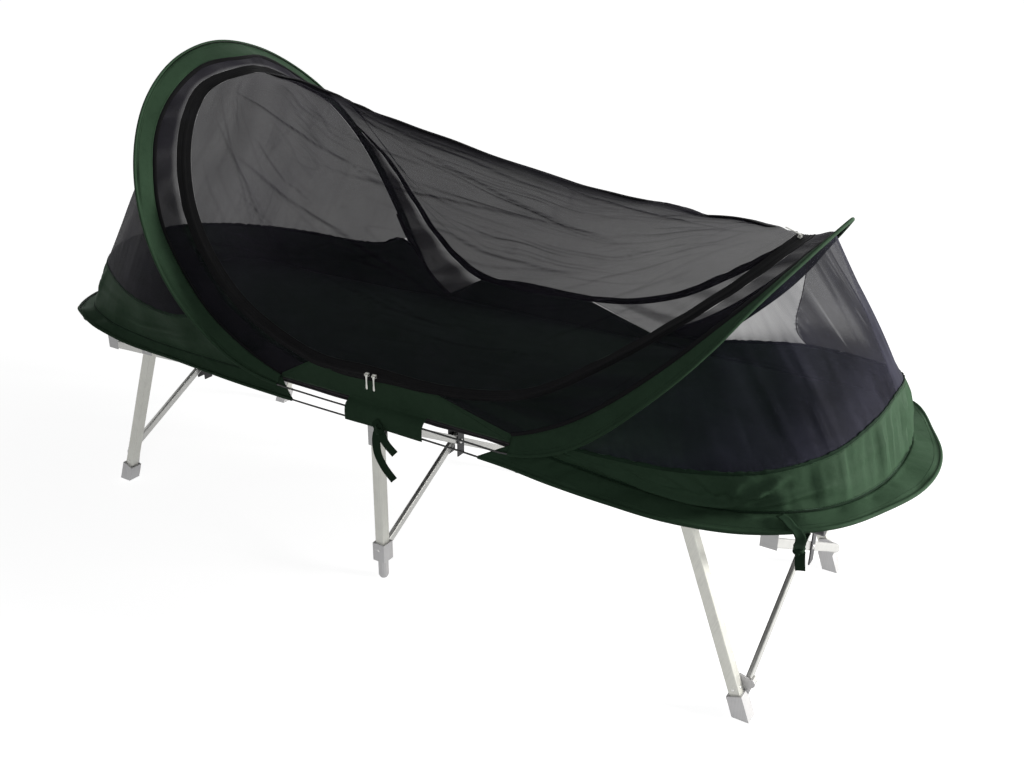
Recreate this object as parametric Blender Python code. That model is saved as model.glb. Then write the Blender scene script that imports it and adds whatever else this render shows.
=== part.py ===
"""Pop-up mosquito net tent tied on a folding aluminium camp bed, modelled at its real size.

Metres, +Z up. The origin is on the floor under the middle of the bed, +X runs to the foot end,
and -Y is the near side, where the door's two zip sliders meet.
"""

import math

import bmesh
import bpy
import numpy as np
from mathutils import Matrix, Vector

# Fits
GAP = 0.0003
SLIDE_GAP = 0.0006

# Camp bed
RAIL_LENGTH = 2.034
RAIL_Y = 0.297
RAIL_Z = 0.465
RAIL_RADIUS = 0.0125
TUBE_WALL = 0.0015
END_BAR_INSET = 0.017
RAIL_CAP_LENGTH = 0.034
RAIL_CAP_WALL = 0.002
BED_CLOTH = 0.0008
POCKET_EASE = 0.0009
POCKET_CLEARANCE = 0.004
NOTCH_MARGIN = 0.004

# Leg frames
LEG_WIDTH = 0.025
LEG_CORNER = 0.003
LEG_OFFSET = 0.018
LEG_Y = RAIL_Y + LEG_OFFSET
FOOT_INSET = 0.099
END_FOOT_X = RAIL_LENGTH / 2 - FOOT_INSET
PIVOT_INSET = 0.265
END_PIVOT_X = RAIL_LENGTH / 2 - PIVOT_INSET
END_PIVOT_DROP = 0.032
END_PIVOT_Z = RAIL_Z - END_PIVOT_DROP
MIDDLE_PIVOT_DROP = 0.091
MIDDLE_PIVOT_Z = RAIL_Z - MIDDLE_PIVOT_DROP
LEG_TOP = 0.010
FOOT_WALL = 0.0042
FOOT_HEIGHT = 0.050
FOOT_SOLE = 0.008
LUG_RADIUS = 0.010
LUG_ROOT = 0.088
COLLAR_BOTTOM = 0.050
COLLAR_TOP = 0.098
PEG_RADIUS = 0.0125
PIN_RADIUS = 0.004
PLATE = 0.002
EAR_WIDTH = 0.034
EAR_BELOW_PIN = 0.013

# X braces
BRACE_WIDTH = 0.020
BRACE_DEPTH = 0.012
BRACE_SPLIT = 0.001
BRACE_LOW_Z = 0.062
BRACE_DROP = 0.060
BRACE_HIGH_Z = RAIL_Z - BRACE_DROP
BRACE_SIDE_GAP = 0.0015
BRACE_OFFSET = 0.028
HUB_WIDTH = 0.028
HUB_HEIGHT = 0.080
HUB_PLATE = 0.003
EYE_RADIUS = 0.009
EYE_LENGTH = 0.014
LEAN = math.atan2(END_FOOT_X - END_PIVOT_X, END_PIVOT_Z)
BRACE_X = END_FOOT_X - BRACE_LOW_Z * math.tan(LEAN) + BRACE_OFFSET * math.cos(LEAN)
BRACE_PIN_Z = BRACE_LOW_Z + BRACE_OFFSET * math.sin(LEAN)

# Tent
CLOTH = 0.0008
NET_GAP = 0.0016
TUCK = 0.0030
SKIRT_GAP = 0.0025
NET_TUCK = {"head": (-0.300, 0.0, 0.600), "foot": (0.300, 0.0, 0.600)}
LINE_COUNTS = (14, 5, 14)
DOOR_STEPS = 6
TAB_DROP = 0.029
FLOOR_END_MARGIN = 0.012
SEAM_GAP = 0.0006
WIRE_RADIUS = 0.0022
HEM_RADIUS = 0.0036
ZIP_WIDTH = 0.038
FLOOR_EASE = 0.0016
FLOOR_Z = RAIL_Z + RAIL_RADIUS + POCKET_EASE + BED_CLOTH + FLOOR_EASE
WINDOW_HEAD = (-0.220, -0.054)
WINDOW_FOOT = (0.162, 0.306)

# The bed that the tent's lines are drawn on, and how far from its middle they follow its edges fully
DRAWN_RAIL_LENGTH = 2.034
DRAWN_RAIL_Y = 0.297
DRAWN_RAIL_Z = 0.465
DRAWN_RAIL_RADIUS = 0.0125
FOLLOW_LENGTH = 0.420
FOLLOW_WIDTH = 0.300

# Fittings
TIE_WIDTH = 0.024
TIE_CLOTH = 0.0016
SLIDER_SIZE = (0.010, 0.0045, 0.008)
PULL_SIZE = (0.006, 0.0014, 0.034)
PULL_STUB = 0.0012
PULL_PIN = 0.0006
FORK_HALF = 0.0025
SLIDER_X = (0.016, 0.036)
SLIDER_TOP_INSET = 0.0075
TIE_MIDDLE_KNOT = (0.050, -0.3705, 0.432)
TIE_MIDDLE_TAILS = (
    ("root", [(0.034, -0.3655, 0.450), (0.041, -0.3665, 0.442), (0.050, -0.369, 0.434)], (1, 0, 0)),
    (
        "long",
        [
            (0.046, -0.369, 0.432), (0.040, -0.369, 0.405), (0.042, -0.368, 0.372),
            (0.058, -0.367, 0.342), (0.084, -0.366, 0.315),
        ],
        (1, 0, 0),
    ),
    ("short", [(0.054, -0.371, 0.430), (0.068, -0.372, 0.408), (0.092, -0.370, 0.385)], (1, 0, 0.3)),
)
TIE_FOOT_KNOT = (0.985, -0.333, 0.428)
TIE_FOOT_TAILS = (
    ("root", [(0.985, -0.300, 0.4475), (0.985, -0.318, 0.444), (0.985, -0.330, 0.432)], (1, 0, 0)),
    ("short", [(0.988, -0.334, 0.426), (0.992, -0.342, 0.410), (0.996, -0.346, 0.394)], (1, 0, 0)),
    (
        "strap",
        [
            (0.942, -0.3318, 0.4862), (0.957, -0.3400, 0.4846), (0.972, -0.3525, 0.4812),
            (0.984, -0.3610, 0.4800), (0.9915, -0.3650, 0.4740), (0.9915, -0.3610, 0.4600),
            (0.987, -0.3480, 0.4420), (0.985, -0.338, 0.432),
        ],
        (0.9, 0.43, 0),
    ),
)

# Half outlines of the tent, far side, from the head end to the foot end
HOOP_HEAD = [
    (-1.220, 0.000, 0.450), (-1.188, 0.133, 0.453), (-1.092, 0.263, 0.469), (-1.015, 0.320, 0.485),
    (-0.940, 0.341, 0.469), (-0.865, 0.341, 0.452), (-0.605, 0.345, 0.440), (-0.420, 0.355, 0.437),
    (-0.220, 0.357, 0.435),
]
HOOP_SIDE = [(-0.220, 0.357, 0.435), (0.040, 0.357, 0.435), (0.306, 0.361, 0.435)]
HOOP_FOOT = [
    (0.306, 0.361, 0.435), (0.380, 0.368, 0.437), (0.482, 0.385, 0.440), (0.620, 0.400, 0.445),
    (0.758, 0.405, 0.450), (0.900, 0.384, 0.462), (1.034, 0.320, 0.484), (1.102, 0.195, 0.483),
    (1.140, 0.090, 0.484), (1.150, 0.000, 0.485),
]
SEAM_HEAD = [
    (-1.150, 0.000, 0.468), (-1.135, 0.120, 0.468), (-1.080, 0.215, 0.477), (-1.000, 0.282, 0.4865),
    (-0.900, 0.318, 0.4805), (-0.750, 0.328, 0.468), (-0.550, 0.335, 0.466), (-0.400, 0.341, 0.470),
    (-0.260, 0.343, 0.479),
]
SEAM_SIDE = [(-0.260, 0.343, 0.479), (0.060, 0.343, 0.479), (0.380, 0.343, 0.479)]
SEAM_FOOT = [
    (0.380, 0.343, 0.479), (0.500, 0.347, 0.474), (0.660, 0.356, 0.470), (0.800, 0.352, 0.470),
    (0.900, 0.337, 0.4800), (0.985, 0.295, 0.489), (1.040, 0.220, 0.491), (1.075, 0.120, 0.494),
    (1.085, 0.000, 0.495),
]
SKIRT_TOP_HEAD = [
    (-1.075, 0.000, 0.625), (-1.060, 0.120, 0.620), (-1.000, 0.220, 0.610), (-0.880, 0.300, 0.600),
    (-0.720, 0.360, 0.585), (-0.600, 0.378, 0.580), (-0.520, 0.383, 0.590), (-0.455, 0.385, 0.612),
]
SKIRT_TOP_FOOT = [
    (0.440, 0.342, 0.512), (0.500, 0.350, 0.512), (0.620, 0.367, 0.525), (0.770, 0.375, 0.545),
    (0.900, 0.330, 0.560), (0.995, 0.240, 0.585), (1.040, 0.120, 0.615), (1.050, 0.000, 0.630),
]
SKIRT_LOW_HEAD = [(-0.408, 0.381, 0.592), (-0.350, 0.3655, 0.540), (-0.262, 0.3445, 0.487)]
SKIRT_LOW_FOOT = [(0.382, 0.3445, 0.498)]
PIPING_HEAD = [
    (-0.655, 0.000, 1.146), (-0.675, 0.100, 1.137), (-0.672, 0.200, 1.090), (-0.645, 0.295, 1.015),
    (-0.600, 0.360, 0.920), (-0.555, 0.395, 0.820), (-0.495, 0.400, 0.715), (-0.430, 0.390, 0.620),
    (-0.350, 0.366, 0.540), (-0.260, 0.345, 0.487),
]
PIPING_SIDE = [(-0.260, 0.345, 0.487), (0.060, 0.345, 0.4935), (0.380, 0.345, 0.500)]
PIPING_FOOT = [
    (0.380, 0.345, 0.500), (0.440, 0.347, 0.525), (0.500, 0.346, 0.557), (0.5925, 0.335, 0.623),
    (0.675, 0.310, 0.697), (0.770, 0.250, 0.795), (0.835, 0.160, 0.866), (0.872, 0.070, 0.910),
    (0.888, 0.000, 0.925),
]
WIRE_HEAD = [
    (-0.735, 0.000, 1.178), (-0.727, 0.130, 1.155), (-0.690, 0.280, 1.070), (-0.630, 0.385, 0.945),
    (-0.565, 0.435, 0.810), (-0.505, 0.444, 0.700), (-0.430, 0.425, 0.590), (-0.350, 0.392, 0.508),
    (-0.295, 0.370, 0.476), (-0.260, 0.361, 0.466),
]
WIRE_SIDE = [
    (-0.260, 0.361, 0.466), (-0.180, 0.356, 0.461), (0.060, 0.3555, 0.460), (0.280, 0.358, 0.460),
    (0.380, 0.363, 0.464),
]
WIRE_FOOT = [
    (0.380, 0.363, 0.464), (0.440, 0.366, 0.478), (0.503, 0.367, 0.505),
    (0.586, 0.362, 0.563), (0.659, 0.345, 0.632), (0.722, 0.315, 0.699), (0.772, 0.280, 0.762),
    (0.820, 0.228, 0.832), (0.862, 0.155, 0.888), (0.895, 0.080, 0.932), (0.914, 0.000, 0.956),
]
ZIP_HEAD = [
    (-0.620, 0.000, 1.112), (-0.648, 0.130, 1.082), (-0.600, 0.240, 1.020), (-0.535, 0.325, 0.925),
    (-0.477, 0.370, 0.845), (-0.410, 0.388, 0.750), (-0.330, 0.385, 0.660), (-0.223, 0.368, 0.588),
    (-0.140, 0.358, 0.556),
]
ZIP_SIDE = [(-0.140, 0.358, 0.556), (0.020, 0.358, 0.556), (0.180, 0.358, 0.556)]
ZIP_FOOT = [
    (0.180, 0.358, 0.556), (0.300, 0.359, 0.570), (0.430, 0.365, 0.610), (0.560, 0.340, 0.690),
    (0.690, 0.265, 0.785), (0.780, 0.150, 0.860), (0.818, 0.060, 0.898), (0.828, 0.000, 0.905),
]
RIDGE_HEAD = [
    (-0.570, 0.000, 1.112), (-0.480, 0.000, 1.104), (-0.363, 0.000, 1.082), (-0.220, 0.000, 1.048),
]
RIDGE_SIDE = [
    (-0.220, 0.000, 1.048), (0.000, 0.000, 1.004), (0.127, 0.000, 0.982), (0.300, 0.000, 0.954),
]
RIDGE_FOOT = [
    (0.300, 0.000, 0.954), (0.450, 0.000, 0.937), (0.620, 0.000, 0.926), (0.775, 0.000, 0.922),
]


def fitted(points):
    """Points of the drawn tent moved with the bed's ends, sides, top and underside, as its sizes change."""
    points = np.array(points, float)
    longer = (RAIL_LENGTH - DRAWN_RAIL_LENGTH) / 2
    thicker = RAIL_RADIUS - DRAWN_RAIL_RADIUS
    wider = RAIL_Y - DRAWN_RAIL_Y + thicker
    along = np.clip(points[..., 0] / FOLLOW_LENGTH, -1, 1)
    across = np.clip(points[..., 1] / FOLLOW_WIDTH, -1, 1)
    above = np.clip(1 + 2 * (points[..., 2] - DRAWN_RAIL_Z) / DRAWN_RAIL_RADIUS, -1, 1)
    higher = RAIL_Z - DRAWN_RAIL_Z + thicker * above
    return points + np.stack([longer * along, wider * across, higher], axis=-1)


def clear_scene():
    for obj in list(bpy.data.objects):
        bpy.data.objects.remove(obj, do_unlink=True)


def make_material(name, color, roughness, metallic=0.0):
    material = bpy.data.materials.new(name)
    material.use_nodes = True
    shader = material.node_tree.nodes["Principled BSDF"]
    shader.inputs["Base Color"].default_value = (*color, 1.0)
    shader.inputs["Roughness"].default_value = roughness
    shader.inputs["Metallic"].default_value = metallic
    return material


FINISHES = {
    "aluminium": ((0.62, 0.61, 0.57), 0.35, 0.9),
    "steel": ((0.45, 0.45, 0.45), 0.35, 0.9),
    "grey_plastic": ((0.45, 0.45, 0.43), 0.5, 0.0),
    "dark_plastic": ((0.06, 0.06, 0.065), 0.5, 0.0),
    "bed_cloth": ((0.012, 0.012, 0.014), 0.9, 0.0),
    "green_cloth": ((0.035, 0.085, 0.045), 0.6, 0.0),
    "black_net": ((0.02, 0.02, 0.022), 0.9, 0.0),
    "black_tape": ((0.008, 0.008, 0.009), 0.8, 0.0),
    "spring_wire": ((0.03, 0.03, 0.032), 0.4, 0.6),
    "zip_metal": ((0.75, 0.75, 0.72), 0.25, 1.0),
}


def finish_object(obj, finish, parent=None, smooth=False):
    """Gives the object a material of its own and hangs it on its joint's empty."""
    color, roughness, metallic = FINISHES[finish]
    obj.data.materials.clear()
    obj.data.materials.append(make_material(f"{obj.name}_{finish}", color, roughness, metallic))
    if parent is not None:
        obj.parent = parent
        obj.matrix_parent_inverse = parent.matrix_world.inverted()
    if smooth:
        obj.data.shade_smooth()
        obj.data.set_sharp_from_angle(angle=math.radians(40))
    return obj


def new_object(name, vertices, faces, matrix=None):
    mesh = bpy.data.meshes.new(name)
    mesh.from_pydata([tuple(v) for v in vertices], [], faces)
    obj = bpy.data.objects.new(name, mesh)
    if matrix is not None:
        obj.matrix_world = matrix
    bpy.context.scene.collection.objects.link(obj)
    return obj


def face_outwards(obj):
    """Turns the faces of a closed mesh outwards."""
    work = bmesh.new()
    work.from_mesh(obj.data)
    bmesh.ops.recalc_face_normals(work, faces=work.faces)
    work.to_mesh(obj.data)
    work.free()


def axis_empty(name, location):
    empty = bpy.data.objects.new(name, None)
    empty.empty_display_size = 0.05
    empty.location = location
    bpy.context.scene.collection.objects.link(empty)
    bpy.context.view_layer.update()
    return empty


def loft_rings(name, rings, closed=False, matrix=None):
    """A solid through rings of equally many points. A closed loft joins its last ring to its first."""
    count = len(rings[0])
    vertices = [point for ring in rings for point in ring]
    faces = []
    spans = len(rings) if closed else len(rings) - 1
    for i in range(spans):
        a = i * count
        b = ((i + 1) % len(rings)) * count
        for j in range(count):
            k = (j + 1) % count
            faces.append((a + j, a + k, b + k, b + j))
    if not closed:
        faces.append(tuple(range(count)))
        faces.append(tuple(len(vertices) - count + j for j in range(count)))
    obj = new_object(name, vertices, faces, matrix)
    face_outwards(obj)
    return obj


def box(name, low, high, matrix=None):
    (x0, y0, z0), (x1, y1, z1) = low, high
    base = [(x0, y0), (x1, y0), (x1, y1), (x0, y1)]
    return loft_rings(name, [[(x, y, z) for x, y in base] for z in (z0, z1)], matrix=matrix)


def cylinder(name, radius, start, end, sides=20):
    """A round bar from start to end."""
    start, end = Vector(start), Vector(end)
    turn = (end - start).to_track_quat("Z", "Y").to_matrix().to_4x4()
    matrix = Matrix.Translation(start) @ turn
    length = (end - start).length
    circle = [
        (radius * math.cos(2 * math.pi * i / sides), radius * math.sin(2 * math.pi * i / sides))
        for i in range(sides)
    ]
    return loft_rings(name, [[(x, y, z) for x, y in circle] for z in (0.0, length)], matrix=matrix)


def as_cutter(obj):
    obj.hide_render = True
    obj.display_type = "WIRE"
    return obj


def boolean(obj, other, operation):
    """Adds or cuts another shape, which stays as a hidden helper."""
    as_cutter(other)
    modifier = obj.modifiers.new(operation.title(), "BOOLEAN")
    modifier.operation = operation
    modifier.object = other
    modifier.solver = "EXACT"


def tube_faces(outer, inner, length):
    """Points and faces of an open-ended tube along Z from two outlines of equally many points."""
    count = len(outer)
    vertices = [(x, y, z) for outline in (outer, inner) for z in (0.0, length) for x, y in outline]
    faces = []
    for j in range(count):
        k = (j + 1) % count
        faces.append((j, k, count + k, count + j))
        faces.append((2 * count + j, 3 * count + j, 3 * count + k, 2 * count + k))
        faces.append((j, 2 * count + j, 2 * count + k, k))
        faces.append((count + j, count + k, 3 * count + k, 3 * count + j))
    return vertices, faces


def circle_outline(radius, sides):
    return [
        (radius * math.cos(2 * math.pi * i / sides), radius * math.sin(2 * math.pi * i / sides))
        for i in range(sides)
    ]


def rounded_outline(width, depth, corner, steps=3):
    """A rectangle with round corners, as points in order."""
    outline = []
    for quarter, (sx, sy) in enumerate(((1, 1), (-1, 1), (-1, -1), (1, -1))):
        cx = sx * (width / 2 - corner)
        cy = sy * (depth / 2 - corner)
        for step in range(steps):
            angle = math.pi / 2 * (quarter + step / (steps - 1))
            outline.append((cx + corner * math.cos(angle), cy + corner * math.sin(angle)))
    return outline


def round_tube(name, start, end, radius, wall, sides=20):
    start, end = Vector(start), Vector(end)
    turn = (end - start).to_track_quat("Z", "Y").to_matrix().to_4x4()
    vertices, faces = tube_faces(
        circle_outline(radius, sides), circle_outline(radius - wall, sides), (end - start).length
    )
    obj = new_object(name, vertices, faces, Matrix.Translation(start) @ turn)
    face_outwards(obj)
    return obj


def square_tube(name, matrix, width, depth, corner, wall, length):
    """An open-ended tube along the Z axis of its matrix."""
    vertices, faces = tube_faces(
        rounded_outline(width, depth, corner),
        rounded_outline(width - 2 * wall, depth - 2 * wall, corner - wall * 0.9),
        length,
    )
    obj = new_object(name, vertices, faces, matrix)
    face_outwards(obj)
    return obj


def guide(end, neighbour):
    """The point beyond a curve's end: its neighbour's mirror image where the end is on the centre line."""
    if end[1] == 0 and neighbour[1] != 0:
        return neighbour * np.array([1.0, -1.0, 1.0])
    return 2 * end - neighbour


def smooth_curve(points, count):
    """Points at equal steps along a smooth curve through the given points."""
    control = np.array(points, float)
    padded = np.vstack([guide(control[0], control[1]), control, guide(control[-1], control[-2])])
    fine = []
    steps = np.linspace(0, 1, 16, endpoint=False)[:, None]
    for a, b, c, d in zip(padded, padded[1:], padded[2:], padded[3:]):
        fine.append(
            0.5
            * (
                2 * b
                + (c - a) * steps
                + (2 * a - 5 * b + 4 * c - d) * steps**2
                + (3 * b - a - 3 * c + d) * steps**3
            )
        )
    fine = np.vstack([*fine, control[-1:]])
    along = np.r_[0, np.cumsum(np.linalg.norm(np.diff(fine, axis=0), axis=1))]
    wanted = np.linspace(0, along[-1], count)
    return np.stack([np.interp(wanted, along, fine[:, axis]) for axis in range(3)], axis=1)


def join_curves(*curves):
    """One run of points from curves that each start where the last ended."""
    return np.vstack([curves[0], *[curve[1:] for curve in curves[1:]]])


def mirrored(points):
    return points * np.array([1.0, -1.0, 1.0])


def both_sides(half):
    """The far half, from its start on the centre line, continued along the near side."""
    return np.vstack([mirrored(half)[::-1], half[1:]])


def unit(vectors):
    return vectors / np.linalg.norm(vectors, axis=-1, keepdims=True)


def cloth_object(name, patches, thickness, finish):
    """A sheet from grids of points, welded where they meet and given its thickness."""
    vertices = []
    faces = []
    for grid in patches:
        rows, columns = grid.shape[:2]
        first = len(vertices)
        vertices.extend(grid.reshape(-1, 3))
        for i in range(rows - 1):
            for j in range(columns - 1):
                a = first + i * columns + j
                faces.append((a, a + 1, a + columns + 1, a + columns))
    obj = new_object(name, vertices, faces)
    work = bmesh.new()
    work.from_mesh(obj.data)
    bmesh.ops.remove_doubles(work, verts=work.verts, dist=0.00002)
    bmesh.ops.dissolve_degenerate(work, edges=work.edges, dist=0.00001)
    bmesh.ops.recalc_face_normals(work, faces=work.faces)
    work.to_mesh(obj.data)
    work.free()
    solidify = obj.modifiers.new("Thickness", "SOLIDIFY")
    solidify.thickness = thickness
    solidify.offset = 0.0
    solidify.use_even_offset = True
    return finish_object(obj, finish, smooth=True)


def span(near, far, steps):
    """A grid between two runs of equally many points."""
    blend = np.linspace(0, 1, steps)[:, None, None]
    return np.swapaxes(near[None] * (1 - blend) + far[None] * blend, 0, 1)


def pulled_in(edge, towards, distance):
    """The edge moved a set distance towards another run of points."""
    return edge + unit(towards - edge) * distance


def hem_grid(inner, wire):
    """A sheet from its inner edge to the wire, then rolled round the wire almost to itself."""
    tangent = unit(np.gradient(wire, axis=0))
    inward = inner - wire
    inward = unit(inward - tangent * np.sum(inward * tangent, axis=1, keepdims=True))
    side = np.cross(tangent, inward)
    columns = [inner]
    turns = np.linspace(0, 1.68 * math.pi, 8)
    start = math.radians(28)
    for turn in turns:
        angle = start + turn
        columns.append(wire + HEM_RADIUS * (math.cos(angle) * inward + math.sin(angle) * side))
    return np.stack(columns, axis=1)


def wire_ring(name, route, radius, finish, sides=5):
    """A closed ring of round wire along a closed route."""
    tangent = unit(np.roll(route, -1, axis=0) - np.roll(route, 1, axis=0))
    middle = route.mean(axis=0)
    outward = route - middle
    outward = unit(outward - tangent * np.sum(outward * tangent, axis=1, keepdims=True))
    side = np.cross(tangent, outward)
    rings = []
    for centre, out, across in zip(route, outward, side):
        rings.append(
            [
                tuple(
                    centre
                    + radius * math.cos(2 * math.pi * i / sides) * out
                    + radius * math.sin(2 * math.pi * i / sides) * across
                )
                for i in range(sides)
            ]
        )
    return finish_object(loft_rings(name, rings, closed=True), finish, smooth=True)


# Bed


def build_rails():
    half = RAIL_LENGTH / 2
    for side, sign in (("near", -1), ("far", 1)):
        y = sign * RAIL_Y
        rail = round_tube(
            f"rail_{side}", (-half, y, RAIL_Z), (half, y, RAIL_Z), RAIL_RADIUS, TUBE_WALL
        )
        finish_object(rail, "aluminium", smooth=True)


def build_end_bar(name, sign):
    """The cross bar with its two plastic cups, which slip over the rail ends."""
    half = RAIL_LENGTH / 2
    x = sign * (half - END_BAR_INSET)
    cup_radius = RAIL_RADIUS + GAP + RAIL_CAP_WALL
    inner = sign * (half + GAP - RAIL_CAP_LENGTH)
    outer = sign * (half + GAP + RAIL_CAP_WALL)
    reach = RAIL_Y - RAIL_RADIUS - 0.001
    bar = cylinder(name, RAIL_RADIUS, (x, -reach, RAIL_Z), (x, reach, RAIL_Z))
    for side, y in (("near", -RAIL_Y), ("far", RAIL_Y)):
        cup = cylinder(f"{name}_{side}_cup", cup_radius, (inner, y, RAIL_Z), (outer, y, RAIL_Z))
        boolean(bar, cup, "UNION")
    for side, y in (("near", -RAIL_Y), ("far", RAIL_Y)):
        bore = cylinder(
            f"{name}_{side}_bore",
            RAIL_RADIUS + GAP,
            (inner - sign * 0.01, y, RAIL_Z),
            (sign * (half + GAP), y, RAIL_Z),
        )
        boolean(bar, bore, "DIFFERENCE")
    finish_object(bar, "dark_plastic", smooth=True)


def pocket_arc(radius, start_degrees, end_degrees, count):
    """Points of a pocket's section round a tube, as distances outwards and upwards from its axis."""
    angles = np.radians(np.linspace(start_degrees, end_degrees, count))
    return np.stack([radius * np.cos(angles), radius * np.sin(angles)], axis=1)


def build_bed_cloth():
    """The stretched bed cloth with a pocket round each rail and each end bar."""
    radius = RAIL_RADIUS + POCKET_EASE + BED_CLOTH / 2
    top = RAIL_Z + radius
    end = RAIL_LENGTH / 2 + GAP - RAIL_CAP_LENGTH - POCKET_CLEARANCE
    notches = (
        (END_PIVOT_X - EAR_WIDTH / 2 - NOTCH_MARGIN, BRACE_X + EAR_WIDTH / 2 + NOTCH_MARGIN),
        EAR_WIDTH / 2 + NOTCH_MARGIN,
    )
    (notch_start, notch_end), middle = notches
    xs = np.array([-end, -notch_end, -notch_start, -middle, middle, notch_start, notch_end, end])
    cup_edge = RAIL_Y - RAIL_RADIUS - GAP - RAIL_CAP_WALL - POCKET_CLEARANCE
    ys = np.array([-RAIL_Y, -cup_edge, cup_edge, RAIL_Y])
    patches = [np.array([[(x, y, top) for y in ys] for x in xs])]
    notched_spans = {1, 3, 5}
    for sign in (-1, 1):
        upper = pocket_arc(radius, 90, 0, 5)
        lower = pocket_arc(radius, 0, -225, 9)
        for arc, skipped in ((upper, set()), (lower, notched_spans)):
            for i in range(len(xs) - 1):
                if i in skipped:
                    continue
                rows = [[(x, sign * (RAIL_Y + a), RAIL_Z + b) for a, b in arc] for x in xs[i : i + 2]]
                patches.append(np.array(rows))
    bar_x = RAIL_LENGTH / 2 - END_BAR_INSET
    wrap = pocket_arc(radius, 90, -135, 10)
    for sign in (-1, 1):
        for run in ([(a + bar_x, RAIL_Z + b) for a, b in wrap], [(end, top), (bar_x, top)]):
            rows = [[(sign * x, y, z) for x, z in run] for y in (-cup_edge, cup_edge)]
            patches.append(np.array(rows))
    cloth_object("bed_cloth", patches, BED_CLOTH, "bed_cloth")


def build_end_bracket(name, end, side):
    """A channel under a rail with the leg's two ears and pin and one ear at the brace's upper end."""
    web_top = RAIL_Z - RAIL_RADIUS - GAP
    inner = LEG_Y - LEG_WIDTH / 2 - GAP - PLATE
    outer = LEG_Y + LEG_WIDTH / 2 + GAP + PLATE
    rail_side = RAIL_Y - RAIL_RADIUS
    start = end * (END_PIVOT_X - EAR_WIDTH / 2)
    stop = end * (BRACE_X + EAR_WIDTH / 2)

    def plate(label, x_limits, y_limits, z_limits):
        xs, ys = sorted(x_limits), sorted(side * y for y in y_limits)
        return box(f"{name}_{label}", (xs[0], ys[0], z_limits[0]), (xs[1], ys[1], z_limits[1]))

    bracket = plate("web", (start, stop), (rail_side, outer), (web_top - PLATE, web_top))
    bracket.name = name
    overlap = web_top - PLATE / 2
    pivot_span = (start, end * (END_PIVOT_X + EAR_WIDTH / 2))
    ear_bottom = END_PIVOT_Z - EAR_BELOW_PIN
    for label, ys in (("inner_ear", (inner, inner + PLATE)), ("outer_ear", (outer - PLATE, outer))):
        boolean(bracket, plate(label, pivot_span, ys, (ear_bottom, overlap)), "UNION")
    brace_span = (end * (BRACE_X - EAR_WIDTH / 2), stop)
    brace_bottom = BRACE_HIGH_Z - EAR_BELOW_PIN
    boolean(
        bracket, plate("brace_ear", brace_span, (inner, inner + PLATE), (brace_bottom, overlap)), "UNION"
    )
    pin = cylinder(
        f"{name}_pin",
        PIN_RADIUS,
        (end * END_PIVOT_X, side * (inner + PLATE / 2), END_PIVOT_Z),
        (end * END_PIVOT_X, side * (outer - PLATE / 2), END_PIVOT_Z),
        sides=12,
    )
    boolean(bracket, pin, "UNION")
    finish_object(bracket, "steel")


def build_middle_bracket(name, side):
    """The long-eared channel that carries a middle leg below the folded end legs."""
    web_top = RAIL_Z - RAIL_RADIUS - GAP
    inner = LEG_Y - LEG_WIDTH / 2 - GAP - PLATE
    outer = LEG_Y + LEG_WIDTH / 2 + GAP + PLATE
    half = EAR_WIDTH / 2
    overlap = web_top - PLATE / 2
    bottom = MIDDLE_PIVOT_Z - EAR_BELOW_PIN

    def plate(label, y_limits, z_limits):
        ys = sorted(side * y for y in y_limits)
        return box(f"{name}_{label}", (-half, ys[0], z_limits[0]), (half, ys[1], z_limits[1]))

    bracket = plate("web", (RAIL_Y - RAIL_RADIUS, outer), (web_top - PLATE, web_top))
    bracket.name = name
    for label, ys in (("inner_ear", (inner, inner + PLATE)), ("outer_ear", (outer - PLATE, outer))):
        boolean(bracket, plate(label, ys, (bottom, overlap)), "UNION")
    pin = cylinder(
        f"{name}_pin",
        PIN_RADIUS,
        (0, side * (inner + PLATE / 2), MIDDLE_PIVOT_Z),
        (0, side * (outer - PLATE / 2), MIDDLE_PIVOT_Z),
        sides=12,
    )
    boolean(bracket, pin, "UNION")
    finish_object(bracket, "steel")


def leg_matrix(pivot, lean, side):
    """Places a leg so that its +Z runs down it from the pivot and its +X faces outboard."""
    turn = Matrix.Rotation(math.pi, 4, "X") @ Matrix.Rotation(lean, 4, "Y")
    return Matrix.Translation((pivot[0], side * LEG_Y, pivot[1])) @ turn


def build_leg(name, pivot, lean, end, side, length, parent):
    """A square tube hung on the bracket's pin, which passes through it."""
    matrix = leg_matrix(pivot, end * lean, side) @ Matrix.Translation((0, 0, -LEG_TOP))
    leg = square_tube(name, matrix, LEG_WIDTH, LEG_WIDTH, LEG_CORNER, TUBE_WALL, length + LEG_TOP)
    reach = LEG_WIDTH
    hole = cylinder(
        f"{name}_hole",
        PIN_RADIUS + GAP,
        (pivot[0], side * LEG_Y - reach, pivot[1]),
        (pivot[0], side * LEG_Y + reach, pivot[1]),
        sides=12,
    )
    boolean(leg, hole, "DIFFERENCE")
    finish_object(leg, "aluminium", parent, smooth=True)


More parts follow.
